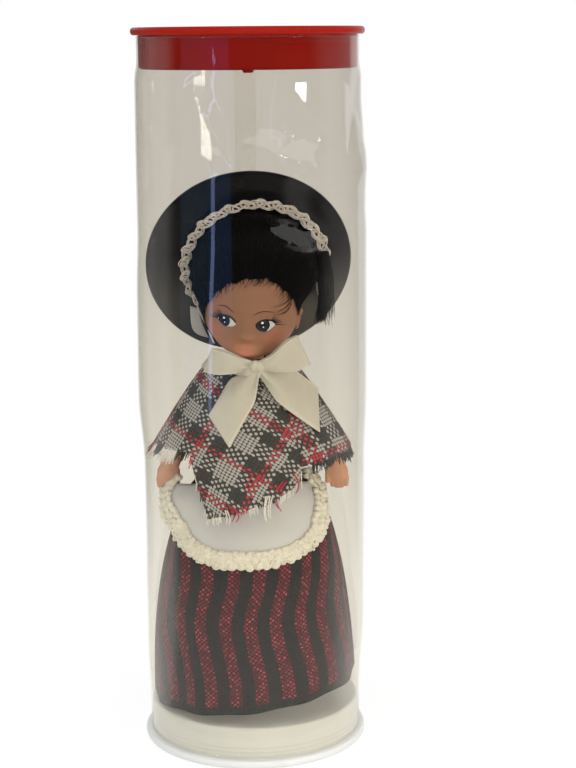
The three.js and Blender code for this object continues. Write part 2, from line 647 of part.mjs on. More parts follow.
function band(height, inside, thickness, z) {
  const outside = inside + thickness;
  const ring = [[inside, 0], [outside, 0], [outside, height], [inside, height], [inside, 0]];
  return solid(turned(ring, 36).scale(1, waistSquash, 1).translate(0, 0, z));
}

function waistband() {
  return band(WAISTBAND_HEIGHT, waistRadius, WAISTBAND_THICKNESS, waistZ + SEAT_GAP);
}

function apronBand() {
  const inside = waistRadius + WAISTBAND_THICKNESS + CLEAR;
  return band(APRON_BAND_HEIGHT, inside, APRON_THICKNESS * 2, waistZ + SEAT_GAP);
}

// Apron: a rounded panel that lies on the front of the skirt, edged with scalloped lace

const apronReach = APRON_DROP / (waistZ - hemZ);

// s runs from one top corner (-1) round the bottom (0) to the other (1), and across is 1 at the cloth's edge.
function onApron(s, across, out) {
  const turn = s * Math.PI / 2;
  const drop = Math.pow(Math.max(Math.cos(turn), 0), APRON_SQUARENESS);
  const aside = Math.sign(s) * Math.pow(Math.abs(Math.sin(turn)), APRON_SQUARENESS);
  const level = 0.004 + across * drop * apronReach;
  const gathered = Math.max(bellRadius(level), APRON_WIDTH * 0.38);
  const angle = (across * aside * APRON_WIDTH / 2 + APRON_ASIDE) / gathered;
  return onBell(angle, level, FOLD_DEPTH * level + CLEAR + out);
}

function apronPanel() {
  const columns = 24;
  const sheet = new THREE.BoxGeometry(2, 1, 1, columns, 1, 6);
  return solid(shaped(sheet, (p) => {
    const across = mix(0.12, 1, p.z + 0.5);
    return onApron(p.x * 0.94, across, (p.y + 0.5) * APRON_THICKNESS);
  }));
}

function apronLace() {
  const columns = APRON_SCALLOPS * 4;
  const strip = new THREE.BoxGeometry(2, 1, 1, columns, 1, 1);
  const start = 1 + CLEAR / APRON_DROP;
  const wide = APRON_LACE_WIDTH / APRON_DROP;
  return solid(shaped(strip, (p) => {
    const wave = 0.5 - 0.5 * Math.cos((p.x + 1) * Math.PI * APRON_SCALLOPS);
    const edge = p.z > 0 ? start + wide * (0.8 + 0.2 * wave) : start;
    return onApron(p.x * 0.94, edge, (p.y + 0.5) * APRON_LACE_THICKNESS);
  }));
}

// Shawl: hangs from the neck over both arms, longest at the front and back

const neckLine = NECK_DIAMETER / 2 + SHAWL_NECK_GAP;
const shawlTop = headBottom - 2.5 * CLEAR;

// Half width and half depth of the shawl at a height.
function shawlSection(z, side) {
  const slope = 0.85;
  const spread = Math.min(Math.pow((shawlTop - z) / (shawlTop - shoulderZ + SHAWL_SIDE_DROP), slope), 1);
  const fallen = Math.pow((shawlTop - z) / SHAWL_FALL, slope);
  return [mix(neckLine + side * 3, shawlReach, spread), mix(neckLine, SHAWL_DEPTH, fallen), fallen];
}

// A point of the shawl's outside. t is 0 at the neck and 1 at the edge, and angle 0 is the front.
function onShawl(angle, t, out) {
  const side = Math.abs(Math.sin(angle));
  const longest = Math.cos(angle) > 0 ? SHAWL_FRONT_DROP : SHAWL_BACK_DROP;
  const drop = mix(SHAWL_SIDE_DROP, longest, ease(Math.abs(Math.cos(angle)), 0.78, 0.94));
  const z = mix(shawlTop, shoulderZ - drop, t);
  const [wide, deep, fallen] = shawlSection(z, side);
  const ruck = SHAWL_RUCK * fallen * Math.cos(6 * angle) * (1 - side);
  return new THREE.Vector3(
    Math.sin(angle) * (wide + out), -Math.cos(angle) * (deep + out + ruck), z,
  );
}

// How far forward the shawl's front lies at a height and a distance to the side.
function shawlFront(x, z) {
  const level = Math.min(z, shawlTop);
  let side = 0;
  for (let step = 0; step < 6; step += 1) {
    side = Math.min(Math.abs(x) / shawlSection(level, side)[0], 0.85);
  }
  const [, deep, fallen] = shawlSection(level, side);
  return -(deep + SHAWL_RUCK * fallen) * Math.sqrt(1 - side ** 2);
}

function shawl() {
  return solid(shaped(openShell(48, 7), (p) => {
    const outer = Math.hypot(p.x, p.y) > 0.75;
    return onShawl(Math.atan2(p.x, -p.y), p.z, outer ? 0 : -SHAWL_THICKNESS);
  }));
}

// Ribbon: a bow tied at the throat, with two tails that lie down the shawl

function bowLoop(side, knotY, knotZ) {
  const outline = new THREE.Shape();
  const start = KNOT_SIZE / 4;
  const far = start + BOW_LOOP_LENGTH;
  const open = BOW_LOOP_DEPTH / 2;
  outline.moveTo(start, -RIBBON_THICKNESS);
  outline.bezierCurveTo(far * 0.5, -open * 1.5, far, -open * 1.2, far, 0);
  outline.bezierCurveTo(far, open * 1.2, far * 0.5, open * 1.5, start, RIBBON_THICKNESS);
  outline.closePath();
  const hollow = new THREE.Path();
  const inset = RIBBON_THICKNESS;
  hollow.moveTo(start + 2.5, 0);
  hollow.bezierCurveTo(far * 0.5, open * 1.5 - inset * 1.6, far - inset, open * 1.2 - inset, far - inset, 0);
  hollow.bezierCurveTo(far - inset, inset - open * 1.2, far * 0.5, inset * 1.6 - open * 1.5, start + 2.5, 0);
  outline.holes.push(hollow);
  const loop = new THREE.ExtrudeGeometry(outline, { depth: 1, bevelEnabled: false, curveSegments: 6 });
  return solid(shaped(loop, (p) => {
    const spread = mix(KNOT_SIZE * 0.7, RIBBON_WIDTH, ease(p.x, start, far * 0.75));
    const z = (p.z - 0.5) * spread + p.x * Math.tan(degrees(BOW_LOOP_RISE));
    return new THREE.Vector3(
      KNOT_ASIDE + side * p.x, knotY + p.y + p.x * Math.tan(degrees(14)), knotZ + z,
    );
  }));
}

// A flat strip from the knot down the shawl, cut at a slant.
function bowTail({ lean, length, slant }, knotY, knotZ) {
  const strip = new THREE.BoxGeometry(1, 1, 1, 4, 1, 8);
  const tilt = degrees(lean);
  return solid(shaped(strip, (p) => {
    const spread = mix(KNOT_SIZE * 0.6, RIBBON_WIDTH, ease(0.5 - p.z, 0, 0.5));
    const along = (0.5 - p.z) * (length + p.x * 2 * slant);
    const x = KNOT_ASIDE + along * Math.sin(tilt) + p.x * spread * Math.cos(tilt);
    const z = knotZ - along * Math.cos(tilt) + p.x * spread * Math.sin(tilt);
    const onCloth = shawlFront(x, z) - CLEAR * 2.5;
    const y = Math.min(mix(knotY, onCloth, ease(along, 0, length * 0.4)), onCloth);
    return new THREE.Vector3(x, y - (p.y < 0 ? RIBBON_THICKNESS * 1.4 : 0), z);
  }));
}

// The ribbon goes round the neck on top of the shawl and bulges forward to the knot.
function neckRibbon(knotY) {
  const ring = [[0.5, 0.03], [1, 0.03], [1, 0.1], [0.5, 0.1], [0.5, 0.03]];
  return solid(shaped(turned(ring, 32), (p) => {
    const angle = Math.atan2(p.x, -p.y);
    const reach = onShawl(angle, p.z, 0).y - knotY;
    const fromKnot = angle - Math.atan2(KNOT_ASIDE, -knotY);
    const bulge = Math.max(reach, 0) * Math.exp(-((fromKnot / 0.5) ** 2));
    const outer = Math.hypot(p.x, p.y) > 0.75;
    return onShawl(angle, p.z, CLEAR + bulge + (outer ? RIBBON_THICKNESS : 0));
  }));
}

function ribbonBow() {
  const knotZ = headBottom - KNOT_SIZE * 0.3;
  const knotY = onShawl(0, 0.16, 0).y - KNOT_SIZE / 2 - 2;
  const knot = ball(KNOT_SIZE * 1.1, KNOT_SIZE * 0.9, KNOT_SIZE * 0.85, 12, 8);
  return solid(knot.translate(KNOT_ASIDE, knotY, knotZ))
    .add(bowLoop(-1, knotY, knotZ)).add(bowLoop(1, knotY, knotZ))
    .add(bowTail(RIGHT_TAIL, knotY, knotZ)).add(bowTail(LEFT_TAIL, knotY, knotZ)).add(neckRibbon(knotY));
}

// Assembly

const doll = new THREE.Group();

const base = new THREE.Group();
base.add(piece("base_plug", plug(), materials.whitePlastic));

const cap = piece("top_cap", plug(), materials.redPlastic);
cap.rotation.x = Math.PI;
cap.position.z = overallHeight;

const display = new THREE.Group();
display.add(piece("clear_tube", clearTube(), materials.clearPlastic), cap);

const wholeTorso = torso();
const body = new THREE.Group();
body.add(
  piece("torso_front", torsoHalf(wholeTorso, -1), materials.bodyPlastic),
  piece("torso_back", torsoHalf(wholeTorso, 1), materials.bodyPlastic),
  piece("arm_elastic", elastic(SHOULDER_WIDTH / 2 + SEAT_GAP, shoulderZ), materials.rubber),
  piece("leg_elastic", elastic(HIP_WIDTH / 2 + SEAT_GAP, hipZ), materials.rubber),
);
for (const [name, side] of [["right", -1], ["left", 1]]) {
  body.add(
    piece(`${name}_arm`, arm(side), materials.skinVinyl),
    piece(`${name}_leg`, leg(side), materials.bodyPlastic),
    piece(`${name}_shoe`, shoe(side), materials.shoeVinyl),
  );
}

const dressedHead = new THREE.Group();
dressedHead.add(
  piece("head", head(), materials.skinVinyl),
  piece("hair", hair(), materials.hair),
  piece("hat_brim", hatBrim(), materials.hatCard),
  piece("hat_crown", hatCrown(), materials.hatCard),
  piece("hat_top", hatTop(), materials.hatCard),
  piece("bonnet_lace", bonnetLace(), materials.bonnetLace),
);

const clothes = new THREE.Group();
clothes.add(
  piece("skirt", skirt(), materials.flannel),
  piece("skirt_waistband", waistband(), materials.flannel),
  piece("petticoat", petticoat(), materials.petticoatCotton),
  piece("apron", apronPanel(), materials.apronCotton),
  piece("apron_band", apronBand(), materials.apronCotton),
  piece("apron_lace", apronLace(), materials.apronLace),
  piece("shawl", shawl(), materials.tartan),
  piece("ribbon_bow", ribbonBow(), materials.satin),
);

doll.add(base, display, body, dressedHead, clothes);

export default doll;
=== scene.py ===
"""A costume doll in traditional dress, in its clear display tube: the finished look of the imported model."""

import math
import random

import bmesh
import bpy
from mathutils import Matrix, Vector, noise
from mathutils.bvhtree import BVHTree


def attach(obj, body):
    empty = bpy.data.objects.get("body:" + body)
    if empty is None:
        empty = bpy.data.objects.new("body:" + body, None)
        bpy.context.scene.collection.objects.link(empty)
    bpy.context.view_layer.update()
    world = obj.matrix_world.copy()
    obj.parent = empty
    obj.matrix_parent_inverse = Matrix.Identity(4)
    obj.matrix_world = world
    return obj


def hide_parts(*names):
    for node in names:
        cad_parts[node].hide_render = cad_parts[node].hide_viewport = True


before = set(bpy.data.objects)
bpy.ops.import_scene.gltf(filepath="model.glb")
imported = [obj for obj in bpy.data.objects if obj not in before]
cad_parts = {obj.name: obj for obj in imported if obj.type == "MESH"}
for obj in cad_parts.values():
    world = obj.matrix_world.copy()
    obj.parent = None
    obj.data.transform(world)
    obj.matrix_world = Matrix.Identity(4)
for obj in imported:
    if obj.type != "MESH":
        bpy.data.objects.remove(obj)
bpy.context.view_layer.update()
draw = random.Random(11)

# Sizes in millimetres and degrees. They are within 0.2 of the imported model's own, apart from
# the lace's end, the apron's flare, and the skirt's hem, slant and right hip
MM = 0.001
TUBE_RADIUS = 32
TUBE_WALL = 0.4
TUBE_BOTTOM = 2.4
TUBE_LENGTH = 207.2
SEAM_WIDTH = 6.6
SEAM_ANGLE = 3
OVERALL_HEIGHT = 212
FLANGE_RADIUS = 33.6
FLANGE_THICKNESS = 2.2
PLUG_RADIUS = 31.4
PLUG_WALL = 1.3
DECK_Z = 11.7
GATE_RADIUS = 1.8
GATE_HEIGHT = 1.3
HIP_Z = 69.7
WAIST_Z = 82.7
SHOULDER_Z = 107.2
SOLE_Z = 12
HEAD_CENTRE = Vector((0.8, -2.2, 136.1))
HEAD_SIZE = Vector((13.5, 14.5, 18.5))
HEAD_TURN = (7, 6, -5.5)
HAIR_CENTRE = Vector((1.3, -2.2, 141.1))
HAIR_SIZE = Vector((18, 17.5, 18.5))
BRIM_CENTRE = Vector((-0.5, 3.2, 143.5))
BRIM_RADIUS = 30.4
BRIM_TILT = 66.4
BRIM_TURN = 6
BRIM_THICKNESS = 0.8
HAT_MIDDLE = Vector((1.9, 0.6, 0))
HAT_OPENING = 19.2
CROWN_HEIGHT = 18
CROWN_TOP = 14
HAT_CARD = 0.7
LACE_RADIUS = 20.9
LACE_START = -212
LACE_END = 23
BELL_TOP = 11.4
WAIST_PUFF = 5
PUFF_STEEPNESS = 25
HEM_RADIUS = 30.6
HEM_Z = 16.1
HEM_SLANT = 3.5
BELL_FULLNESS = 2.2
RIGHT_HIP_FULLNESS = 1.3
WAIST_SQUASH = 0.876
SKIRT_FOLDS = 11
FOLD_DEPTH = 0.7
WAIST_RADIUS = 10.1
APRON_DROP = 19
APRON_HALF = 24
APRON_ASIDE = -0.6
APRON_SQUARENESS = 0.72
APRON_GATHER = 0.38
APRON_FLARE = 5.5
PETTICOAT_GAP = 1.9
SHAWL_TOP = 116.6
SHAWL_SIDE_Z = 89.5
SHAWL_FALL = 29.9
NECK_LINE = 8.1
SHAWL_REACH = 29.8
SHAWL_DEPTH = 23.4
RIBBON_WIDTH = 9.5
KNOT = Vector((1.9, -16.8, 116.2))

# For shaping: no rotation, and how close two points are when a seam merges them
UPRIGHT = Matrix.Identity(4)
MERGE_DISTANCE = 0.002

# Camera, in millimetres and degrees
CAMERA_PLACE = Vector((10.8, -516, 208.9))
CAMERA_LENS = 82.8
CAMERA_SENSOR = 36
CAMERA_DOWN = 11.1
CAMERA_ROLL = -0.45


def mix(low, high, share):
    return low + (high - low) * share


def ease(value, low, high):
    share = min(max((value - low) / (high - low), 0), 1)
    return share * share * (3 - 2 * share)


def between(points, value):
    """The height of a smooth line through (place, height) points."""
    for (first, low), (last, high) in zip(points, points[1:]):
        if value <= last:
            return mix(low, high, ease(value, first, last))
    return points[-1][1]


def turned(x, y, z):
    """Rotation by degrees about x, then y, then z."""
    about = [Matrix.Rotation(math.radians(angle), 4, axis) for angle, axis in zip((x, y, z), "XYZ")]
    return about[2] @ about[1] @ about[0]


def curve_point(points, t):
    """A point on a smooth curve through points."""
    spans = len(points) - 1
    first = min(int(t * spans), spans - 1)
    s = t * spans - first
    a, b = points[first], points[first + 1]
    before, after = points[max(first - 1, 0)], points[min(first + 2, spans)]
    pull_a, pull_b = (b - before) / 2, (after - a) / 2
    return (
        (2 * s ** 3 - 3 * s ** 2 + 1) * a + (s ** 3 - 2 * s ** 2 + s) * pull_a
        + (3 * s ** 2 - 2 * s ** 3) * b + (s ** 3 - s ** 2) * pull_b
    )


def linked(name, data):
    """A new object in the scene."""
    made = bpy.data.objects.new(name, data)
    bpy.context.scene.collection.objects.link(made)
    return made


def mesh_from(name, bm):
    mesh = bpy.data.meshes.new(name)
    bm.to_mesh(mesh)
    bm.free()
    return mesh


head_place = Matrix.Translation(HEAD_CENTRE) @ turned(*HEAD_TURN)
hat_place = Matrix.Translation(BRIM_CENTRE) @ turned(-BRIM_TILT, 0, BRIM_TURN)


# Camera

def set_camera():
    lens = bpy.data.cameras.new("camera")
    lens.sensor_width = CAMERA_SENSOR
    lens.lens = CAMERA_LENS
    made = linked("camera", lens)
    aim = turned(90 - CAMERA_DOWN, 0, 0) @ turned(0, 0, CAMERA_ROLL)
    made.matrix_world = Matrix.Translation(CAMERA_PLACE * MM) @ aim
    bpy.context.scene.camera = made


set_camera()
bpy.context.scene.view_settings.view_transform = "Standard"


# Finishes

class Wire:
    """A socket in a material's nodes. Arithmetic on wires adds Math nodes."""

    def __init__(self, tree, socket=None):
        self.tree = tree
        self.socket = socket

    def node(self, kind, settings=None, values=None, out=0):
        made = self.tree.nodes.new("ShaderNode" + kind)
        for name, value in (settings or {}).items():
            if name == "stops":
                made.color_ramp.interpolation = "CONSTANT"
                while len(made.color_ramp.elements) < len(value):
                    made.color_ramp.elements.new(1)
                for stop, (place, colour) in zip(made.color_ramp.elements, value):
                    stop.position = place
                    stop.color = (*colour, 1)
            else:
                setattr(made, name, value)
        for name, value in (values or {}).items():
            socket = made.inputs[name]
            if isinstance(value, Wire):
                self.tree.links.new(value.socket, socket)
            elif socket.type == "RGBA":
                socket.default_value = (*value, 1)
            else:
                socket.default_value = value
        return Wire(self.tree, made.outputs[out])

    def other(self, out):
        return Wire(self.tree, self.socket.node.outputs[out])

    def math(self, operation, *values):
        return self.node("Math", {"operation": operation}, dict(enumerate(values)))

    def __add__(self, other):
        return self.math("ADD", self, other)

    def __radd__(self, other):
        return self.math("ADD", other, self)

    def __sub__(self, other):
        return self.math("SUBTRACT", self, other)

    def __rsub__(self, other):
        return self.math("SUBTRACT", other, self)

    def __mul__(self, other):
        return self.math("MULTIPLY", self, other)

    def __rmul__(self, other):
        return self.math("MULTIPLY", other, self)

    def __truediv__(self, other):
        return self.math("DIVIDE", self, other)

    def __pow__(self, other):
        return self.math("POWER", self, other)

    def __mod__(self, other):
        return self.math("FLOORED_MODULO", self, other)

    def __abs__(self):
        return self.math("ABSOLUTE", self)

    def floor(self):
        return self.math("FLOOR", self)

    def clamped(self):
        return self.node("Clamp", {}, {"Value": self})


def blended(share, first, second):
    """A colour between two colours."""
    return share.node("Mix", {"data_type": "RGBA"}, {0: share, 6: first, 7: second}, 2)


def spread(value, low, high):
    """0 below low, 1 above high and smooth between."""
    settings = {"interpolation_type": "SMOOTHSTEP"}
    return value.node("MapRange", settings, {"Value": value, "From Min": low, "From Max": high})


def on_piece(bench):
    """Places on a piece, in metres."""
    return bench.node("TexCoord", out="Object")


def apart(place):
    """A place's x, with its y and z as the node's other outputs."""
    return place.node("SeparateXYZ", {}, {0: place})


def speckle(bench, scale, detail=3, stretch=(1, 1, 1)):
    """Soft noise from 0 to 1 over the piece, in cells per millimetre."""
    scaled = bench.node("VectorMath", {"operation": "MULTIPLY"}, {0: on_piece(bench), 1: stretch})
    return bench.node("TexNoise", {}, {"Vector": scaled, "Scale": scale / MM, "Detail": detail})


def cloth_place(bench):
    """Places on a cloth, in millimetres along its two thread directions."""
    flat = apart(bench.node("UVMap", {"uv_map": "cloth"}))
    return flat, flat.other(1)


def raised(bench, height, distance):
    """Surface relief, with its depth in millimetres."""
    return bench.node("Bump", {}, {"Height": height, "Distance": distance * MM})


finishes = {}


def blank_finish(name):
    """A new material, with its nodes and its main shader."""
    material = bpy.data.materials.new(name)
    material.use_nodes = True
    finishes[name] = material
    return material, material.node_tree, material.node_tree.nodes["Principled BSDF"]


def finish(name, paint, **constants):
    """A material whose sockets are set by plain values, and by the wires that paint gives."""
    material, tree, shader = blank_finish(name)
    for socket, value in constants.items():
        shader.inputs[socket.replace("_", " ")].default_value = value
    for socket, wire in paint(Wire(tree)).items():
        tree.links.new(wire.socket, shader.inputs[socket])
    return material


def moulded_plastic(light, dark, rough):
    def paint(bench):
        cloudy = speckle(bench, 0.09, 4)
        grain = speckle(bench, 2.4, 2)
        scuffs = spread(speckle(bench, 0.5, 5, (1, 1, 0.12)), 0.55, 0.75)
        return {
            "Base Color": blended(cloudy, dark, light),
            "Roughness": rough + 0.1 * cloudy + 0.16 * scuffs,
            "Normal": raised(bench, grain + 0.6 * scuffs, 0.02),
        }
    return paint


def skin(bench):
    """Vinyl with a rosy bloom on the cheeks, nose and mouth, and painted shade that darkens the upper face
    and leaves the chin lighter, placed in the head's own frame.
    """
    settled = bench.node("Mapping", {"vector_type": "TEXTURE"}, {
        "Vector": on_piece(bench),
        "Location": HEAD_CENTRE * MM,
        "Rotation": turned(*HEAD_TURN).to_euler(),
        "Scale": (MM, MM, MM),
    })
    parts = apart(settled)
    x, y, z = parts, parts.other(1), parts.other(2)
    front = spread(0 - y, 2, 7)

    def bloom(across, up, wide, tall):
        far = ((x - across) / wide) ** 2 + ((z - up) / tall) ** 2
        return (1 - far).clamped() * front

    cloudy = speckle(bench, 0.25, 3)
    cheeks = bloom(9.2, -10.8, 5, 4.4) + bloom(-9.2, -11.2, 5, 4.4)
    tip = bloom(0.4, -10.6, 3.2, 2.4)
    lips = spread(bloom(0.3, -13.9, 3.4, 1.4) + bloom(0.3, -15.3, 2.8, 1.2), 0.05, 0.9)
    # Painted shade: the skin is darker over the forehead and eyes, as under the hat's brim, and lighter
    # towards the chin, as if lit from below.
    painted_shade_tone = blended(spread(0 - z, 8, 17), (0.25, 0.124, 0.073), (0.54, 0.26, 0.145))
    base = blended(cloudy * 0.35, painted_shade_tone, (0.29, 0.135, 0.075))
    flushed = blended((cheeks * 0.45 + tip * 0.15).clamped(), base, (0.46, 0.15, 0.086))
    kissed = blended(lips * 0.3, flushed, (0.58, 0.16, 0.125))
    return {
        "Base Color": kissed,
        "Roughness": 0.44 + 0.12 * cloudy,
        "Normal": raised(bench, speckle(bench, 3.2, 2), 0.015),
    }


def hair_sheen(bench):
    strand = speckle(bench, 0.8, 3, (1, 1, 0.3))
    return {
        "Base Color": blended(strand, (0.0006, 0.0005, 0.0005), (0.0026, 0.0019, 0.0016)),
        "Roughness": 0.3 + 0.2 * strand,
    }


def hat_black(bench):
    grain = speckle(bench, 4, 2)
    scuffs = spread(speckle(bench, 0.22, 5), 0.5, 0.8)
    place = apart(on_piece(bench))
    # Painted reflection: the lower part of the hat is paler, more so on the right, as if the glossy card
    # mirrored the bright floor.
    painted_reflection_mask = spread(0 - place.other(2), -0.149, -0.128)
    painted_reflection_colour = blended(spread(place, 0.004, 0.02), (0.05, 0.048, 0.045), (0.095, 0.09, 0.082))
    black = blended(scuffs, (0.003, 0.003, 0.0035), (0.009, 0.009, 0.01))
    return {
        "Base Color": blended(painted_reflection_mask, black, painted_reflection_colour),
        "Roughness": 0.12 + 0.14 * scuffs,
        "Normal": raised(bench, grain, 0.001),
    }


def yarn_wool(light, dark):
    def paint(bench):
        plies = speckle(bench, 1.9, 3)
        fuzz = speckle(bench, 6, 2)
        shade = (0.55 * plies + 0.45 * fuzz).clamped()
        return {
            "Base Color": blended(spread(shade, 0.3, 0.62), dark, light),
            "Normal": raised(bench, plies + 0.5 * fuzz, 0.12),
        }
    return paint


def plain_weave(bench, pitch, other_pitch=None):
    """A plain weave: thread counts along and across, which thread is on top, and how high it stands."""
    u, v = cloth_place(bench)
    wander = speckle(bench, 0.14, 2) - 0.5
    warp = (u + 1.1 * wander) / pitch
    weft = (v - 1.1 * wander) / (other_pitch or pitch)
    column, row = warp.floor(), weft.floor()
    over = (column + row) % 2
    across = abs(warp - column - 0.5) * 2
    along = abs(weft - row - 0.5) * 2
    width = over * across + (1 - over) * along
    length = over * along + (1 - over) * across
    height = (1 - 0.85 * width * width - 0.5 * length ** 3).clamped()
    return column, row, over, height


WARP_PITCH = 0.92
WEFT_PITCH = 1.07
WARP_THREADS = "WWWWWWKKKKRRWWWWWWKKKKWWRRRWWKKKK"
WEFT_THREADS = "WWWWWWKKKKRRWWKKKK"
THREAD_COLOURS = {"W": (0.5, 0.487, 0.465), "K": (0.036, 0.036, 0.034), "R": (0.5, 0.035, 0.06)}
THREAD_NAMES = {"W": "white", "K": "black", "R": "red"}


def thread_colour(bench, number, threads):
    """The colour of a thread, from its number and the order of the threads in a repeat."""
    stops = []
    for place, letter in enumerate(threads):
        if place == 0 or threads[place - 1] != letter:
            stops.append((place / len(threads), THREAD_COLOURS[letter]))
    share = (number % len(threads) + 0.5) / len(threads)
    return bench.node("ValToRGB", {"stops": stops}, {"Fac": share})


def tartan(bench):
    """Thick threads of white, black and red, in a different order each way."""
    column, row, over, height = plain_weave(bench, WARP_PITCH, WEFT_PITCH)
    warp = thread_colour(bench, column, WARP_THREADS)
    weft = thread_colour(bench, row, WEFT_THREADS)
    fibre = speckle(bench, 2.2, 3)
    thread = blended(over, weft, warp)
    worn = blended(fibre * 0.45, thread, (0.12, 0.115, 0.11))
    # Painted shade: the low ground between and around the threads is coloured near black.
    gap = spread(height, 0.3, 0.6)
    return {
        "Base Color": blended(gap, (0.035, 0.033, 0.032), worn),
        "Normal": raised(bench, height + 0.15 * fibre, 0.3),
    }


STRIPE_REPEAT = 7.775
STRIPE_WIDTH = 3.8
STRIPE_BLUR = 0.12
STRIPE_START = 4.7
FLANNEL_PITCH = 0.8
HEM_SHADOW_BAND = 2.5


def flannel(bench):
    """Black cloth with dark red stripes that are flecked with lighter threads, and a black band at the hem:
    painted shadow under the hem.
    """
    u, v = cloth_place(bench)
    column, row, over, height = plain_weave(bench, FLANNEL_PITCH, FLANNEL_PITCH * 0.8)
    across = u % STRIPE_REPEAT
    edge = 0.5 * (speckle(bench, 0.9, 2) - 0.5)
    off_middle = abs(across - STRIPE_REPEAT / 2) + edge
    stripe = spread(off_middle, STRIPE_WIDTH / 2 + STRIPE_BLUR, STRIPE_WIDTH / 2 - STRIPE_BLUR)
    # Painted shadow: the stripes stop short of the hem, leaving a black band that stands for the shade under
    # it.
    hem_shadow_start = WAIST_Z - HEM_Z - HEM_SHADOW_BAND
    hem = spread(v, hem_shadow_start, hem_shadow_start + 0.3)
    cell = bench.node("CombineXYZ", {}, {0: column, 1: row})
    chance = bench.node("TexWhiteNoise", {"noise_dimensions": "2D"}, {"Vector": cell})
    fleck = over * spread(height, 0.1, 0.6) * (0.15 + 0.85 * chance * chance)
    fibre = speckle(bench, 1.4, 4)
    black = blended(fibre, (0.007, 0.0075, 0.007), (0.018, 0.018, 0.017))
    red = blended(fibre, (0.028, 0.004, 0.007), (0.055, 0.008, 0.012))
    flecked = blended(fleck, red, (0.36, 0.05, 0.06))
    return {
        "Base Color": blended(stripe * (1 - hem), black, flecked),
        "Normal": raised(bench, 0.6 * height + 0.5 * fibre, 0.14),
    }


def cotton(light, dark, pitch):
    def paint(bench):
        *_, height = plain_weave(bench, pitch)
        slub = speckle(bench, 0.6, 4, (1, 1, 0.25))
        creases = spread(speckle(bench, 0.1, 2, (1, 1, 0.35)), 0.35, 0.7)
        shade = 0.35 + 0.3 * height + 0.2 * slub + 0.15 * creases
        return {
            "Base Color": blended(shade.clamped(), dark, light),
            "Normal": raised(bench, 0.4 * height + 0.4 * slub + 1.2 * creases, 0.07),
        }
    return paint


def satin(bench):
    """Fine ribs across the ribbon, with a soft uneven shine."""
    u, v = cloth_place(bench)
    ribs = bench.math("SINE", v * (2 * math.pi / 0.32))
    drawn_out = bench.node("CombineXYZ", {}, {0: u * 0.25, 1: v * 4})
    streaks = bench.node("TexNoise", {}, {"Vector": drawn_out, "Scale": 1, "Detail": 3})
    selvedge = spread(abs(u), RIBBON_WIDTH / 2 - 0.7, RIBBON_WIDTH / 2 - 0.35)
    body = blended(streaks, (0.44, 0.419, 0.348), (0.56, 0.533, 0.455))
    return {
        "Base Color": blended(selvedge * 0.5, body, (0.7, 0.66, 0.55)),
        "Roughness": 0.34 + 0.18 * streaks,
        "Normal": raised(bench, ribs * 0.35 + streaks, 0.05),
    }


def eye_paint(inner, outer):
    def paint(bench):
        depth = speckle(bench, 1.2, 3)
        return {"Base Color": blended(depth, inner, outer), "Roughness": 0.08 + 0.06 * depth}
    return paint


def clear_film(name, dark, light):
    """Old clear plastic: it tints what is behind it, mirrors the room and lets lamp light through."""
    _, tree, shader = blank_finish(name)
    shader.inputs["Metallic"].default_value = 1
    shader.inputs["Base Color"].default_value = (0.97, 0.98, 1, 1)
    bench = Wire(tree)
    haze = speckle(bench, 0.06, 4, (1, 1, 0.35))
    scratches = spread(speckle(bench, 0.7, 6, (1, 1, 0.05)), 0.6, 0.75)
    rough = 0.015 + 0.02 * haze + 0.1 * scratches
    tree.links.new(rough.socket, shader.inputs["Roughness"])
    facing = bench.node("LayerWeight", {}, {"Blend": 0.5}, "Facing")
    mirror = 0.03 + 0.34 * facing ** 3 + 0.008 * scratches
    height = apart(on_piece(bench)).other(2)
    # Painted light and shade: the tint is lighter low down and darker higher up the tube.
    clear = (0.25 * haze + 0.85 * spread(height, 0.19, 0.03)).clamped()
    tint = blended(clear, dark, light)
    behind = bench.node("BsdfTransparent", {}, {"Color": tint})
    film = bench.node("MixShader", {}, {0: mirror, 1: behind, 2: Wire(tree, shader.outputs[0])})
    lamp_ray = bench.node("LightPath", out="Is Shadow Ray")
    open_way = bench.node("BsdfTransparent", {}, {"Color": (1, 1, 1)})
    whole = bench.node("MixShader", {}, {0: lamp_ray, 1: film, 2: open_way})
    tree.links.new(whole.socket, tree.nodes["Material Output"].inputs["Surface"])


finish("red_plastic", moulded_plastic((0.25, 0.009, 0.004), (0.2, 0.006, 0.003), 0.24),
       Specular_IOR_Level=0.06)
finish("white_plastic", moulded_plastic((0.58, 0.585, 0.57), (0.52, 0.525, 0.505), 0.28))
finish("skin_vinyl", skin, Specular_IOR_Level=0.4)
finish("body_plastic", moulded_plastic((0.62, 0.33, 0.2), (0.54, 0.27, 0.16), 0.36))
finish("shoe_vinyl", moulded_plastic((0.02, 0.02, 0.021), (0.012, 0.012, 0.013), 0.24))
finish("elastic", yarn_wool((0.42, 0.36, 0.28), (0.22, 0.18, 0.14)), Roughness=0.85)
finish("hair", hair_sheen, Specular_IOR_Level=0.06)
finish("hat_card", hat_black, Specular_IOR_Level=0.18)
finish("bonnet_lace", yarn_wool((0.72, 0.67, 0.6), (0.4, 0.36, 0.32)), Roughness=0.95)
finish("bonnet_card", moulded_plastic((0.5, 0.5, 0.5), (0.4, 0.4, 0.41), 0.6), Specular_IOR_Level=0.2)
finish("tartan", tartan, Roughness=0.95)
finish("tartan_white", yarn_wool((0.78, 0.76, 0.72), (0.5, 0.47, 0.43)), Roughness=0.95)
finish("tartan_black", yarn_wool((0.045, 0.045, 0.042), (0.01, 0.01, 0.01)), Roughness=0.95)
finish("tartan_red", yarn_wool((0.55, 0.045, 0.07), (0.28, 0.015, 0.03)), Roughness=0.95)
finish("satin", satin, Sheen_Weight=0.25)
finish("apron_cotton", cotton((0.57, 0.57, 0.57), (0.44, 0.44, 0.45), 0.42), Roughness=0.85)
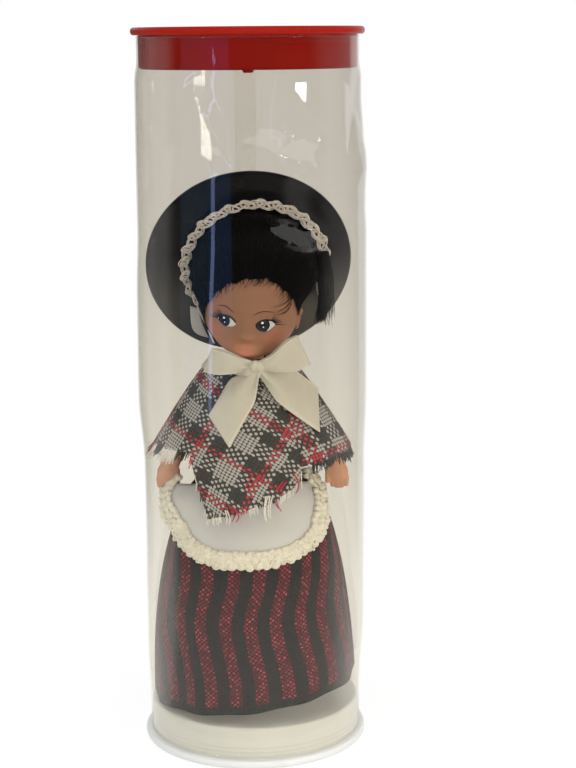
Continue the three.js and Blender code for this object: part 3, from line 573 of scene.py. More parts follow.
finish("apron_lace", yarn_wool((0.72, 0.69, 0.6), (0.54, 0.505, 0.42)), Roughness=0.95)
finish("flannel", flannel, Roughness=0.95)
finish("petticoat_cotton", cotton((0.88, 0.87, 0.84), (0.7, 0.69, 0.66), 0.5), Roughness=0.9)
finish("eye_white", eye_paint((0.5, 0.49, 0.51), (0.6, 0.59, 0.61)))
finish("eye_blue", eye_paint((0.006, 0.014, 0.024), (0.015, 0.038, 0.06)))
finish("eye_dark", eye_paint((0.004, 0.005, 0.007), (0.012, 0.014, 0.018)))
finish("eye_glint", eye_paint((0.86, 0.9, 0.95), (0.95, 0.97, 1)))
finish("brow_brown", yarn_wool((0.11, 0.045, 0.025), (0.055, 0.02, 0.012)), Roughness=0.5)
clear_film("clear_plastic", (0.868, 0.85, 0.82), (0.945, 0.932, 0.89))
clear_film("clear_seam", (0.99, 0.987, 0.98), (0.992, 0.988, 0.982))


# Shapes

def grid(columns, rows, place, layout=None):
    """A flat grid with x and y from -1 to 1, laid out as cloth in millimetres and then bent into place."""
    bm = bmesh.new()
    bmesh.ops.create_grid(bm, x_segments=columns, y_segments=rows, size=1)
    cloth = bm.loops.layers.uv.new("cloth")
    if layout:
        for face in bm.faces:
            for corner in face.loops:
                corner[cloth].uv = layout(corner.vert.co.x, corner.vert.co.y)
    for vert in bm.verts:
        vert.co = place(vert.co.x, vert.co.y)
    return bm


def joined_round(bm):
    """Merges the seam of a shape that goes right round."""
    bmesh.ops.remove_doubles(bm, verts=bm.verts, dist=MERGE_DISTANCE)
    bmesh.ops.recalc_face_normals(bm, faces=bm.faces)
    return bm


def spun(profile, sides=144):
    """A profile of (radius, height) turned about the upright axis."""
    bm = bmesh.new()
    line = [bm.verts.new((radius, 0, height)) for radius, height in profile]
    edges = [bm.edges.new(pair) for pair in zip(line, line[1:])]
    bmesh.ops.spin(
        bm, geom=line + edges, cent=(0, 0, 0), axis=(0, 0, 1),
        angle=2 * math.pi, steps=sides, use_merge=True,
    )
    return joined_round(bm)


def placed(bm, matrix):
    bmesh.ops.transform(bm, matrix=matrix, verts=bm.verts)
    return bm


def together(parts):
    """One shape from several, each with its material number."""
    whole = bmesh.new()
    for number, bm in parts:
        for face in bm.faces:
            face.material_index = number
        part = mesh_from("part", bm)
        whole.from_mesh(part)
        bpy.data.meshes.remove(part)
    return whole


def moulded(balls, voxel, smooth=6):
    """Balls of (centre, radii, rotation) melted into one smooth skin."""
    bm = bmesh.new()
    for centre, radii, rotation in balls:
        size = Matrix.Diagonal((*radii, 1))
        matrix = Matrix.Translation(centre) @ rotation @ size
        bmesh.ops.create_uvsphere(bm, u_segments=20, v_segments=14, radius=1, matrix=matrix)
    lump = mesh_from("lump", bm)
    held = linked("lump", lump)
    remesh = held.modifiers.new("skin", "REMESH")
    remesh.mode = "VOXEL"
    remesh.voxel_size = voxel
    relax = held.modifiers.new("relax", "SMOOTH")
    relax.factor = 0.5
    relax.iterations = smooth
    finished = held.evaluated_get(bpy.context.evaluated_depsgraph_get())
    melted = bpy.data.meshes.new_from_object(finished)
    made = bmesh.new()
    made.from_mesh(melted)
    bpy.data.objects.remove(held)
    bpy.data.meshes.remove(melted)
    bpy.data.meshes.remove(lump)
    return made


def strands(runs, thickness, closed=False):
    """Threads along lists of (point, share of the thickness), as one shape."""
    line = bpy.data.curves.new("threads", "CURVE")
    line.dimensions = "3D"
    line.bevel_depth = thickness / 2
    line.bevel_resolution = 1
    line.use_fill_caps = not closed
    for run in runs:
        spline = line.splines.new("POLY")
        spline.points.add(len(run) - 1)
        spline.use_cyclic_u = closed
        spline.use_smooth = True
        for knot, (point, share) in zip(spline.points, run):
            knot.co = (*point, 1)
            knot.radius = share
    held = bpy.data.objects.new("threads", line)
    mesh = bpy.data.meshes.new_from_object(held)
    made = bmesh.new()
    made.from_mesh(mesh)
    bpy.data.objects.remove(held)
    bpy.data.curves.remove(line)
    bpy.data.meshes.remove(mesh)
    bmesh.ops.recalc_face_normals(made, faces=made.faces)
    return made


def piece(name, bm, body, slot, *nodes, materials=None, thickness=0, sharp=None):
    """A finished piece that rides on a body, takes a slot's finish and stands for CAD nodes."""
    bmesh.ops.scale(bm, vec=(MM, MM, MM), verts=bm.verts)
    mesh = mesh_from(name, bm)
    mesh.shade_smooth()
    if sharp:
        mesh.set_sharp_from_angle(angle=math.radians(sharp))
    for material in materials or [slot]:
        mesh.materials.append(finishes[material])
    made = linked(name, mesh)
    if thickness:
        wall = made.modifiers.new("thickness", "SOLIDIFY")
        wall.thickness = thickness * MM
        wall.offset = -1
    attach(made, body)
    if nodes:
        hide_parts(*nodes)
    return made


# Tube and plugs

def round_tube(angle, at):
    """Distance round the tube from one angle to another."""
    return (angle - at) * math.pi / 180 * TUBE_RADIUS


def leaning(across, rise, lean):
    """Distances along and across a mark that leans by degrees."""
    tilt = math.radians(lean)
    along = across * math.cos(tilt) + rise * math.sin(tilt)
    return along, rise * math.cos(tilt) - across * math.sin(tilt)


def dent(angle, z, at, up, wide, tall, lean):
    """How deep a creased dent is at a place on the tube: 1 in its middle, falling in flat faces to 0."""
    a, b = leaning(round_tube(angle, at), z - up, lean)
    return max(0, 1 - max(abs(a) / wide, abs(b) / tall))


DENTS = [
    # angle from the front, height, half width, half height, lean in degrees, depth
    (22, 183, 7, 8, 32, 1.4),
    (31, 181, 7, 6, -25, 1),
    (15, 178, 10, 7, 20, -1),
    (-25, 199, 3.5, 10, -24, 1),
    (-19, 187, 4, 4.5, 20, 0.45),
    (-15, 181, 3, 9, 10, 0.9),
    (-34, 184, 12, 9, 15, 0.6),
    (72, 190, 9, 14, 10, 1.2),
    (84, 176, 12, 16, -8, -1.3),
    (62, 170, 8, 10, 30, 0.6),
    (-60, 170, 10, 16, -12, 0.5),
    (150, 184, 12, 15, 20, 0.9),
    (-140, 175, 11, 13, -25, 0.8),
    (-70, 40, 10, 18, 12, -0.3),
    (110, 60, 9, 20, -10, -0.3),
]
# angle from the front, height, half width, half height, lean and tip in degrees
FACET = (23, 155.2, 6.2, 2.6, -22, 17)
# height, distance out of the round
SWELL_RIGHT = [(20, 0.7), (40, 1.4), (85, 1.5), (105, 2.1), (152, 2.2), (170, 1.2), (180, 0.4), (200, 0.5)]
SWELL_LEFT = [(20, 0.4), (70, 0.3), (85, 0.3), (105, 1.5), (135, 1.5), (155, 0.9), (200, 0.8)]
# heights between which the plugs let go of the wall
BASE_HOLD = (12, 30)
CAP_HOLD = (203, 197)
GRID_CROWDING = 0.42
WALL_WAVE = 0.22


def facet(angle, z):
    """How far a small flat patch, tipped up out of the round of the tube, stands out at a place."""
    at, up, wide, tall, lean, tip = FACET
    across = round_tube(angle, at)
    a, b = leaning(across, z - up, lean)
    inside = ease(-math.hypot(a / wide, b / tall), -1.5, -0.85)
    flat = (across * across) / (2 * TUBE_RADIUS)
    return inside * (flat - (z - up) * math.tan(math.radians(tip)))


def swell(angle, z):
    """How far the old tube has sprung out at its sides, between the plugs that hold it round."""
    side = math.sin(math.radians(angle))
    return side * side * between(SWELL_RIGHT if side > 0 else SWELL_LEFT, z)


def crowding(share):
    """How far a row of the tube's grid moves, so that rows lie closer at the front and the top."""
    return GRID_CROWDING * math.sin(math.pi * share) / math.pi


def tube_point(x, y):
    angle = 180 * (x - crowding(x))
    share = (y + 1) / 2
    z = TUBE_BOTTOM + (share + crowding(share)) * TUBE_LENGTH
    radius = TUBE_RADIUS
    turn = math.radians(angle)
    wave = noise.noise(Vector((math.sin(turn) * 1.4, math.cos(turn) * 1.4, z / 45)))
    free = ease(z, *BASE_HOLD) * ease(z, *CAP_HOLD)
    for at, up, wide, tall, lean, depth in DENTS:
        radius -= free * depth * dent(angle, z, at, up, wide, tall, lean)
    radius += free * (WALL_WAVE * wave + swell(angle, z) + facet(angle, z))
    return Vector((math.sin(turn) * radius, -math.cos(turn) * radius, z))


def seam_point(x, y):
    angle = 180 + SEAM_ANGLE + math.degrees(x * SEAM_WIDTH / 2 / TUBE_RADIUS)
    side = math.radians((angle + 180) % 360 - 180)
    x = side / math.pi
    for _ in range(6):
        x = side / math.pi + crowding(x)
    point = tube_point(x, y)
    outward = Vector((point.x, point.y, 0)).normalized()
    return point + outward * TUBE_WALL


RIB_PITCH = 1.35
RIB_WIDTH = 0.7
RIB_ROUND = ((-0.5, 0), (-0.3, 0.05), (0, 0.07), (0.3, 0.05), (0.5, 0))
DECK_EDGE = 0.9


def plug_profile(ribs):
    recess = PLUG_RADIUS - PLUG_WALL
    profile = [
        (0, DECK_Z - PLUG_WALL),
        (recess - 0.8, DECK_Z - PLUG_WALL),
        (recess, DECK_Z - PLUG_WALL - 0.8),
        (recess, 0.35),
        (recess + 0.35, 0),
    ]
    bulge = FLANGE_THICKNESS / 2
    for step in range(7):
        turn = math.pi * (step / 6 - 0.5)
        out = FLANGE_RADIUS - bulge * 0.7 + math.cos(turn) * bulge * 0.7
        profile.append((out, bulge + math.sin(turn) * bulge))
    profile.append((PLUG_RADIUS + 0.1, FLANGE_THICKNESS))
    for rib in range(ribs):
        z = FLANGE_THICKNESS + 1 + rib * RIB_PITCH
        for share, out in RIB_ROUND:
            profile.append((PLUG_RADIUS + out, z + share * RIB_WIDTH))
    for step in range(5):
        turn = math.pi / 2 * step / 4
        out = PLUG_RADIUS - DECK_EDGE + math.cos(turn) * DECK_EDGE
        profile.append((out, DECK_Z - DECK_EDGE + math.sin(turn) * DECK_EDGE))
    profile += [
        (GATE_RADIUS + 0.3, DECK_Z),
        (GATE_RADIUS, DECK_Z + 0.25),
        (GATE_RADIUS * 0.86, DECK_Z + GATE_HEIGHT * 0.8),
        (GATE_RADIUS * 0.66, DECK_Z + GATE_HEIGHT),
        (0.4, DECK_Z + GATE_HEIGHT * 0.8),
        (0, DECK_Z + GATE_HEIGHT * 0.78),
    ]
    return profile


def make_display():
    piece("ivory_base", spun(plug_profile(3)), "base", "white_plastic", "base_plug", sharp=50)
    upside_down = Matrix.Translation((0, 0, OVERALL_HEIGHT)) @ turned(180, 0, 0)
    cap = placed(spun(plug_profile(2)), upside_down)
    piece("red_cap", cap, "cap", "red_plastic", "top_cap", sharp=50)
    wall = joined_round(grid(240, 200, tube_point))
    piece("tube_wall", wall, "tube", "clear_plastic", "clear_tube", thickness=TUBE_WALL, sharp=30)
    seam = grid(8, 100, seam_point)
    piece("tube_seam", seam, "tube", "clear_plastic", materials=["clear_seam"], thickness=TUBE_WALL * 0.6)


# Head

def bump(p, x, y, z, size):
    return math.exp(-((p.x - x) ** 2 + (p.y - y) ** 2 + (p.z - z) ** 2) / size ** 2)


def head_shape(p):
    """A point of the unit ball to a child's head, in the head's own frame."""
    face = ease(-p.y, 0.1, 0.8)
    jaw = 1 - 0.12 * ease(-p.z, 0.45, 1)
    ring = math.sqrt(max(1 - p.z * p.z, 1e-6))
    full = max(1 + p.z ** 3, 0) ** (1 / 3) / ring if p.z < 0 else 1
    cheeks = 0.07 * (bump(p, 0.75, -0.45, -0.45, 0.45) + bump(p, -0.75, -0.45, -0.45, 0.45))
    back = 0.92 if p.y > 0 else 1
    out = 1 + cheeks
    local = Vector((
        p.x * HEAD_SIZE.x * out * jaw * full,
        p.y * HEAD_SIZE.y * out * full * back,
        p.z * HEAD_SIZE.z * (1 + 0.025 * ease(-p.z, 0.5, 1)),
    ))
    local.y -= face * face_relief(local.x, local.z)
    return local


def hill(x, z, at_x, at_z, wide, tall):
    return math.exp(-((x - at_x) / wide) ** 2 - ((z - at_z) / tall) ** 2)


def face_relief(x, z):
    """How far the face stands out at a place on it: brow, nose, lips, chin and the hollows of the eyes."""
    bridge = 0.5 * hill(x, z, 0.3, -7.4, 1.7, 3.2)
    tip = 1.2 * hill(x, z, 0.35, -10.4, 1.6, 1.3) + 0.5 * hill(x, z, 0.35, -10.4, 2.7, 1.5)
    nostrils = -0.18 * (hill(x, z, 1.2, -11.6, 0.6, 0.4) + hill(x, z, -0.5, -11.6, 0.6, 0.4))
    groove = -0.14 * hill(x, z, 0.4, -12.6, 0.6, 0.8)
    upper = 0.5 * hill(x, z, 0.3, -13.8, 2.6, 0.85)
    line = -0.22 * hill(x, z, 0.3, -14.55, 2.4, 0.32)
    lower = 0.55 * hill(x, z, 0.3, -15.4, 2.2, 0.9)
    under = -0.25 * hill(x, z, 0.3, -16.5, 2.2, 0.6) + 6.5 * hill(x, z, 0.3, -17.2, 5.4, 2.5)
    hollows = -0.55 * (hill(x, z, 5.6, -6.2, 3.2, 2) + hill(x, z, -5.5, -6.2, 3.2, 2))
    balls = 0.4 * (hill(x, z, 5.6, -6.4, 2.1, 1.4) + hill(x, z, -5.5, -6.4, 2.1, 1.4))
    brow = 0.22 * (hill(x, z, 5.2, -2.6, 3.6, 1.2) + hill(x, z, -5.2, -2.6, 3.6, 1.2))
    apples = 0.45 * (hill(x, z, 8, -11.5, 3.6, 3.4) + hill(x, z, -7.6, -11.7, 3.6, 3.4))
    return bridge + tip + nostrils + groove + upper + line + lower + under + hollows + balls + brow + apples


def make_skull():
    bm = bmesh.new()
    bmesh.ops.create_uvsphere(bm, u_segments=200, v_segments=150, radius=1)
    for vert in bm.verts:
        vert.co = head_shape(vert.co)
    bmesh.ops.recalc_face_normals(bm, faces=bm.faces)
    return bm


skull = make_skull()
face_tree = BVHTree.FromBMesh(skull)
skull_tree = BVHTree.FromBMesh(placed(skull.copy(), head_place))


def on_face(x, z, lift):
    """The place on the face at a distance across and up from the head's centre, lifted off the skin."""
    point, normal, _, _ = face_tree.ray_cast(Vector((x, -60, z)), Vector((0, 1, 0)))
    return head_place @ (point + normal * lift)


def make_ear(side):
    lobes = []
    for step in range(9):
        turn = math.radians(mix(-125, 130, step / 8))
        across = side * (14 + 0.5 * math.sin(turn))
        rim = Vector((across, 0.6 + 1.5 * math.cos(turn + 0.5), -7.1 + 2.7 * math.sin(turn)))
        lobes.append((rim, (0.75, 0.75, 0.8), UPRIGHT))
    lobes.append((Vector((side * 13.3, 0.6, -7.2)), (0.9, 1.6, 2.6), UPRIGHT))
    return placed(moulded(lobes, 0.22, 8), head_place)


def disc(x, y):
    """A square's point moved onto a round disc."""
    return x * math.sqrt(1 - y * y / 2), y * math.sqrt(1 - x * x / 2)


EYES = [
    # middle across and up, half width, height of the upper and lower lid,
    # iris across, iris radius, outer side
    (-5.5, -6.15, 2.8, 1.55, 1.55, -6.3, 1.65, -1),
    (5.6, -6.25, 2.75, 1.6, 1.8, 4.86, 1.9, 1),
]


def lid(eye, x):
    """Heights of the upper and lower lid of an eye at a distance across."""
    middle, level, half, upper, lower, _, _, outer = eye
    share = min(max((x - middle) / half, -1), 1)
    open_share = max(1 - abs(share) ** 2.3, 0) ** 0.8
    slant = 0.28 * share * outer
    return level + slant + upper * open_share, level + slant - lower * open_share


def eye_decal(eye, across, up, wide, tall, lift, cells=14):
    """A painted disc on the face, kept between the lids of its eye."""
    def place(x, y):
        u, v = disc(x, y)
        spot = min(max(across + u * wide, eye[0] - eye[2]), eye[0] + eye[2])
        top, bottom = lid(eye, spot)
        return on_face(spot, min(max(up + v * tall, bottom), top), lift)
    return grid(cells, cells, place)


def make_eyes():
    parts = []
    for eye in EYES:
        middle, level, half, upper, lower, iris, radius, _ = eye
        look = level + 0.05
        parts += [
            (0, eye_decal(eye, middle, level, half * 1.02, max(upper, lower) + 0.4, 0.05, 20)),
            (2, eye_decal(eye, iris, look, radius * 1.05, radius * 1.12, 0.09)),
            (1, eye_decal(eye, iris + 0.05, look - 0.1, radius * 0.8, radius * 0.86, 0.12)),
            (2, eye_decal(eye, iris, look + 0.05, radius * 0.46, radius * 0.5, 0.15)),
            (3, eye_decal(eye, iris - 0.1, look + 0.72, radius * 0.18, radius * 0.18, 0.18, 6)),
            (3, eye_decal(eye, iris + 0.25, look - 0.5, radius * 0.09, radius * 0.09, 0.18, 6)),
        ]
    return together(parts)


def painted_line(points, lift, taper):
    """A brush line over the face, through points across and up, with its width along it."""
    spots = [Vector(point) for point in points]
    steps = 6 * (len(points) - 1)
    run = []
    for step in range(steps + 1):
        t = step / steps
        run.append((on_face(*curve_point(spots, t), lift), taper(t)))
    return run


LASHES = 6


def upper_lid_width(t):
    return 0.55 + 0.75 * math.sin(math.pi * min(t * 0.75 + 0.2, 1))


def brow_width(t):
    return 0.45 + 0.9 * math.sin(math.pi * min(max(t, 0.06), 0.94))


def make_lashes():
    runs = []
    for eye in EYES:
        middle, _, half, *_, outer = eye
        upper, lower = [], []
        for share in (-0.97, -0.7, -0.3, 0.1, 0.5, 0.8, 0.98):
            across = middle + outer * half * share
            upper.append((across, lid(eye, across)[0] + 0.06))
        for share in (-0.6, -0.1, 0.4, 0.9):
            across = middle + outer * half * share
            lower.append((across, lid(eye, across)[1] - 0.04))
        runs.append(painted_line(upper, 0.12, upper_lid_width))
        runs.append(painted_line(lower, 0.06, lambda t: 0.22))
        for lash in range(LASHES):
            outward = lash / (LASHES - 1)
            root = middle + outer * half * mix(0.5, 1, outward)
            height = lid(eye, root)[0]
            out = outer * mix(1.1, 2.6, outward)
            rise = mix(1.7, -0.3, outward ** 1.3)
            points = [(root, height), (root + out * 0.55, height + rise * 0.35),
                      (root + out, height + rise)]
            runs.append(painted_line(points, 0.1, lambda t: 0.85 * (1 - t) + 0.12))
    return strands(runs, 0.42)


BROWS = [
    # points across and up
    [(-8.7, -2.3), (-6.6, -1.75), (-5.1, -2.2), (-3.6, -3.15)],
    [(2.15, -3.3), (3.6, -2.35), (5.4, -1.95), (8.1, -2.5)],
]


def make_brows():
    return strands([painted_line(brow, 0.02, brow_width) for brow in BROWS], 0.3)


def make_head():
    piece("face", placed(skull, head_place), "head", "skin_vinyl", "head")
    for name, side in (("right_ear", -1), ("left_ear", 1)):
        piece(name, make_ear(side), "head", "skin_vinyl")
    colours = ["eye_white", "eye_blue", "eye_dark", "eye_glint"]
    piece("eyes", make_eyes(), "head", "skin_vinyl", materials=colours)
    piece("lashes", make_lashes(), "head", "hair", materials=["eye_dark"])
    piece("brows", make_brows(), "head", "hair", materials=["brow_brown"])


# Hair

head_back = head_place.to_3x3().transposed()
HAIRLINE = [
    # degrees round from the front, height above the head's centre
    (-180, -14), (-80, -12), (-66, -9.5), (-60, -4.5), (-54, -1.6), (-40, 1.9), (-20, 5.4), (0, 7.3),
    (20, 7.7), (35, 6.2), (48, 3.8), (60, 1), (70, -1.6), (80, -4), (112, -4.6), (135, -9), (180, -14),
]


def hairline(turn):
    """Height of the hairline above the head's centre, at degrees round from the front."""
    return between(HAIRLINE, turn)


def hair_radius(way):
    """Distance from the head's centre to the combed hair in a direction, and the rise over the hairline."""
    *_, scalp = skull_tree.ray_cast(HEAD_CENTRE, way)
    local = head_back @ way
    above = scalp * local.z - hairline(math.degrees(math.atan2(local.x, -local.y)))
    start = HEAD_CENTRE - HAIR_CENTRE
    a = sum((w / s) ** 2 for w, s in zip(way, HAIR_SIZE))
    b = sum(w * o / s ** 2 for w, o, s in zip(way, start, HAIR_SIZE))
    c = sum((o / s) ** 2 for o, s in zip(start, HAIR_SIZE)) - 1
    mass = (-b + math.sqrt(max(b * b - a * c, 0))) / a
    return mix(scalp + 0.25, max(mass, scalp + 0.4), ease(above, -0.5, 9)), above


def make_hair_mass():
    bm = bmesh.new()
    bmesh.ops.create_uvsphere(bm, u_segments=120, v_segments=90, radius=1)
    bare = []
    for vert in bm.verts:
        way = (hat_place.to_3x3() @ vert.co).normalized()
        radius, above = hair_radius(way)
        if above < -0.6:
            bare.append(vert)
        vert.co = HEAD_CENTRE + way * radius
    bmesh.ops.delete(bm, geom=bare, context="VERTS")
    return bm


def ring_way(angle):
    """Direction from the head's centre to a place on the hat's opening."""
    turn = math.radians(angle)
    reach = HAT_OPENING - 0.6
    spot = HAT_MIDDLE + Vector((math.cos(turn) * reach, math.sin(turn) * reach, -0.4))
    return (hat_place @ spot - HEAD_CENTRE).normalized()


def local_way(turn, height):
    """Direction to a place on the skull at degrees from the front and a height above its centre."""
    angle = math.radians(turn)
    flat = math.sqrt(max(1 - (height / HEAD_SIZE.z) ** 2, 0.05))
    local = Vector((math.sin(angle) * flat * HEAD_SIZE.x, -math.cos(angle) * flat * HEAD_SIZE.y, height))
    return (head_place.to_3x3() @ local).normalized()


HAIR_CLUMPS = 70
FOREHEAD_CURLS = 60
TEMPLE_CURLS = 11


def make_hair_strands(count=1500, steps=9):
    """Strands combed from the hat to the hairline in clumps, with short curls over the brow and temple."""
    clumps = sorted(draw.uniform(-100, 100) for _ in range(HAIR_CLUMPS))
    runs = []
    for _ in range(count):
        turn = draw.uniform(-104, 88)
        clump = min(clumps, key=lambda c: abs(c - turn))
        tip_turn = mix(turn, clump, draw.uniform(0, 0.5))
        drop = draw.gauss(-0.3, 0.55) + 0.45 * math.sin(clump * 2.3)
        tip = local_way(tip_turn, hairline(tip_turn) - drop)
        root = ring_way(-90 + turn * 1.02 + draw.uniform(-6, 6))
        lift = draw.uniform(0, 0.45)
        sway = draw.uniform(-0.03, 0.03)
        side = root.cross(tip).normalized()
        start = draw.uniform(0, 0.35)
        run = []
        for step in range(steps):
            t = mix(start, 1, step / (steps - 1))
            way = root.slerp(tip, t) + side * sway * math.sin(math.pi * t)
            way.normalize()
            radius, _ = hair_radius(way)
            loose = lift * math.sin(math.pi * min(t * 1.02, 1)) + 0.1
            run.append((HEAD_CENTRE + way * (radius + loose), 1 - 0.75 * ease(t, 0.6, 1)))
        runs.append(run)
    for _ in range(FOREHEAD_CURLS):
        turn = draw.uniform(-46, 62)
        x = math.sin(math.radians(turn)) * HEAD_SIZE.x
        z = hairline(turn) + 0.9
        lean = draw.gauss(-0.8, 1.3)
        fall = draw.uniform(2, 3.9)
        curl = [(x, z), (x + lean * 0.3, z - fall * 0.55), (x + lean, z - fall)]
        runs.append(painted_line(curl, 0.3, lambda t: 0.55 - 0.38 * t))
    for _ in range(TEMPLE_CURLS):
        down = draw.uniform(0, 4.4)
        curl = [(12, 3 - down), (10.6 + draw.uniform(-0.5, 0.5), 1 - down),
                (8.8 + draw.uniform(-1.8, 1.8), -0.6 - down * 0.7)]
        runs.append(painted_line(curl, 0.25, lambda t: 0.5 - 0.32 * t))
    return runs


LOCK_LINE = [
    Vector((20.6, 1.8, 147)), Vector((21.4, 2.4, 143.4)), Vector((22, 2.6, 139.6)),
    Vector((22.2, 3.6, 133.6)), Vector((21.6, 4.4, 128.4)), Vector((20.6, 4.8, 125.4)),
]


def make_side_lock(count=170, steps=12):
    """The lock that hangs from under the hat by the doll's left ear, with loose ends."""
    runs = []
    for _ in range(count):
        thick = math.sqrt(draw.random()) * 2.5
        turn = draw.uniform(0, 2 * math.pi)
        off = Vector((math.cos(turn) * thick, math.sin(turn) * thick * 0.7, 0))
        end = draw.uniform(0.72, 1)
        fan = draw.gauss(0, 0.5)
        run = []
        for step in range(steps):
            t = step / (steps - 1)
            gather = mix(1, 0.45, ease(t * end, 0.35, 1))
            stray = Vector((fan * t ** 4 * 2.2, 0, -1.4 * abs(fan) * t ** 4))
            run.append((curve_point(LOCK_LINE, t * end) + off * gather + stray, 1 - 0.7 * ease(t, 0.6, 1)))
        runs.append(run)
    return runs


def make_hair():
    piece("hair_mass", make_hair_mass(), "head", "hair", "hair")
    piece("hair_strands", strands(make_hair_strands(), 0.26), "head", "hair")
    piece("hair_lock", strands(make_side_lock(), 0.28), "head", "hair")


# Hat

BRIM_SEGMENTS = 160
BRIM_RINGS = 14
STITCH_STEPS = 14


def make_hat():
    brim = bmesh.new()
    edge = bmesh.ops.create_circle(brim, segments=BRIM_SEGMENTS, radius=BRIM_RADIUS)["verts"]
    opening = Matrix.Translation(HAT_MIDDLE)
    bmesh.ops.create_circle(brim, segments=BRIM_SEGMENTS, radius=HAT_OPENING, matrix=opening)
    bmesh.ops.bridge_loops(brim, edges=brim.edges)
    across = [e for e in brim.edges if (e.verts[0] in edge) != (e.verts[1] in edge)]
    bmesh.ops.subdivide_edges(brim, edges=across, cuts=BRIM_RINGS, use_grid_fill=True)
    for vert in brim.verts:
        far = vert.co.length / BRIM_RADIUS
        turn = math.atan2(vert.co.y, vert.co.x)
        vert.co.z += 0.25 * far ** 3 * math.sin(2 * turn + 0.6) + 0.12 * far ** 3 * math.sin(5 * turn)
    bmesh.ops.recalc_face_normals(brim, faces=brim.faces)
    if sum(face.normal.z for face in brim.faces) < 0:
        bmesh.ops.reverse_faces(brim, faces=brim.faces)
    bmesh.ops.translate(brim, vec=(0, 0, BRIM_THICKNESS), verts=brim.verts)
    piece("brim", placed(brim, hat_place), "head", "hat_card", "hat_brim",
          thickness=BRIM_THICKNESS, sharp=40)
    foot = BRIM_THICKNESS + 0.2
    foot_radius = HAT_OPENING + HAT_CARD
    top_radius = CROWN_TOP + HAT_CARD
    wall = spun([
        (foot_radius, foot),
        (HAT_OPENING + HAT_CARD * 0.9, foot + 0.5),
        (top_radius + 0.1, foot + CROWN_HEIGHT - 0.4),
        (top_radius, foot + CROWN_HEIGHT),
        (CROWN_TOP, foot + CROWN_HEIGHT),
        (HAT_OPENING, foot),
        (foot_radius, foot),
    ])
    place = hat_place @ opening
    piece("crown", placed(wall, place), "head", "hat_card", "hat_crown", sharp=40)
    top = foot + CROWN_HEIGHT + 0.2
    lid_disc = spun([
        (0, top),
        (top_radius - 0.25, top),
        (top_radius, top + 0.2),
        (top_radius, top + HAT_CARD - 0.25),
        (top_radius - 0.3, top + HAT_CARD),
        (0, top + HAT_CARD + 0.25),
    ])
    piece("crown_top", placed(lid_disc, place), "head", "hat_card", "hat_top", sharp=40)


def chain_stitch(middle, ahead, beside, out, long, wide, lift, spare):
    """One crochet loop: a drop-shaped ring that rises over the tail of the next."""
    ring = []
    for step in range(STITCH_STEPS):
        turn = 2 * math.pi * step / STITCH_STEPS
        along = math.cos(turn) * long / 2
        across = math.sin(turn) * wide / 2 * (1 - 0.3 * math.cos(turn)) * spare
        ring.append((middle + ahead * along + beside * across + out * lift * math.cos(turn), 1))
    return ring


TIE_LINE = [
    Vector((-17, 7.4, 133.6)), Vector((-15.7, 5.6, 129.5)),
    Vector((-13.1, 2, 124.8)), Vector((-10.9, -2.5, 120.6)),
]


def make_bonnet_lace(stitches=38):
    """A crocheted band round the hat's opening, narrower at its ends, with a thin tie down to the chin."""
    out = Vector((0, 0, -1))
    runs = []
    for stitch in range(stitches):
        share = stitch / (stitches - 1)
        turn = math.radians(mix(LACE_START, LACE_END, share))
        radial = Vector((math.cos(turn), math.sin(turn), 0))
        onward = Vector((-math.sin(turn), math.cos(turn), 0))
        lean = math.radians(mix(-22, 22, stitch % 2) + draw.uniform(-8, 8))
        ahead = onward * math.cos(lean) + radial * math.sin(lean)
        beside = radial * math.cos(lean) - onward * math.sin(lean)
        slim = mix(0.5, 1, ease(share, 0, 0.2)) * mix(0.35, 1, ease(1 - share, 0, 0.2))
        for strand in (-1, 0, 1):
            middle = HAT_MIDDLE + out * 1.05 + radial * (LACE_RADIUS + draw.uniform(-0.15, 0.15))
            shift = beside * strand * 0.3 * slim + out * strand * 0.16
            spare = draw.uniform(0.85, 1.1)
            runs.append(chain_stitch(middle + shift, ahead, beside, out, 4.5, 2 * slim, 0.4, spare))
    chain = placed(strands(runs, 0.38, closed=True), hat_place)
    tie = [(curve_point(TIE_LINE, step / 20), 1) for step in range(21)]
    return together([(0, chain), (0, strands([tie], 0.55))])


CARD_INNER = [Vector((-15, 14.5, -1)), Vector((-13.4, 20.7, -1)), Vector((-11.7, 25.1, -1))]
CARD_OUTER = [
    Vector((-17.4, 13.7, -1)), Vector((-16.9, 20.7, -1)),
    Vector((-15.2, 23.6, -1)), Vector((-11.7, 25.1, -1)),
]


def make_bonnet_card():
    """The pale stiffening that shows at the lower corner of the hat's opening."""
    def place(x, y):
        t = (1 - y) / 2
        return curve_point(CARD_INNER, t).lerp(curve_point(CARD_OUTER, t), (x + 1) / 2)
    return placed(grid(8, 14, place), hat_place)


# Skirt, petticoat and apron

def bell_radius(level):
    flare = (1 - math.exp(-BELL_FULLNESS * level)) / (1 - math.exp(-BELL_FULLNESS))
    puff = WAIST_PUFF * (1 - math.exp(-PUFF_STEEPNESS * level))
    return BELL_TOP + puff + (HEM_RADIUS - BELL_TOP - WAIST_PUFF) * flare


def on_bell(angle, level, out):
    """A place on the skirt's bell: angle from the front, and level from 0 at the waist to 1 at the hem."""
    radius = bell_radius(level) + out
    radius += RIGHT_HIP_FULLNESS * 4 * level * (1 - level) * max(-math.sin(angle), 0)
    squash = mix(WAIST_SQUASH, 1, ease(level, 0, 0.3))
    height = mix(WAIST_Z, HEM_Z, level) + HEM_SLANT * level * math.sin(angle)
    return Vector((math.sin(angle) * radius, -math.cos(angle) * radius * squash, height))


def fold_depth(angle, level):
    waves = math.cos(SKIRT_FOLDS * angle + 0.7 * math.sin(2 * angle)) + 0.35 * math.cos(5 * angle + 1.3)
    return FOLD_DEPTH * 0.72 * level * waves


def skirt_level(y):
    """The level of a row of the skirt's grid, with the rows closer at the waist."""
    return ((1 - y) / 2) ** 1.6


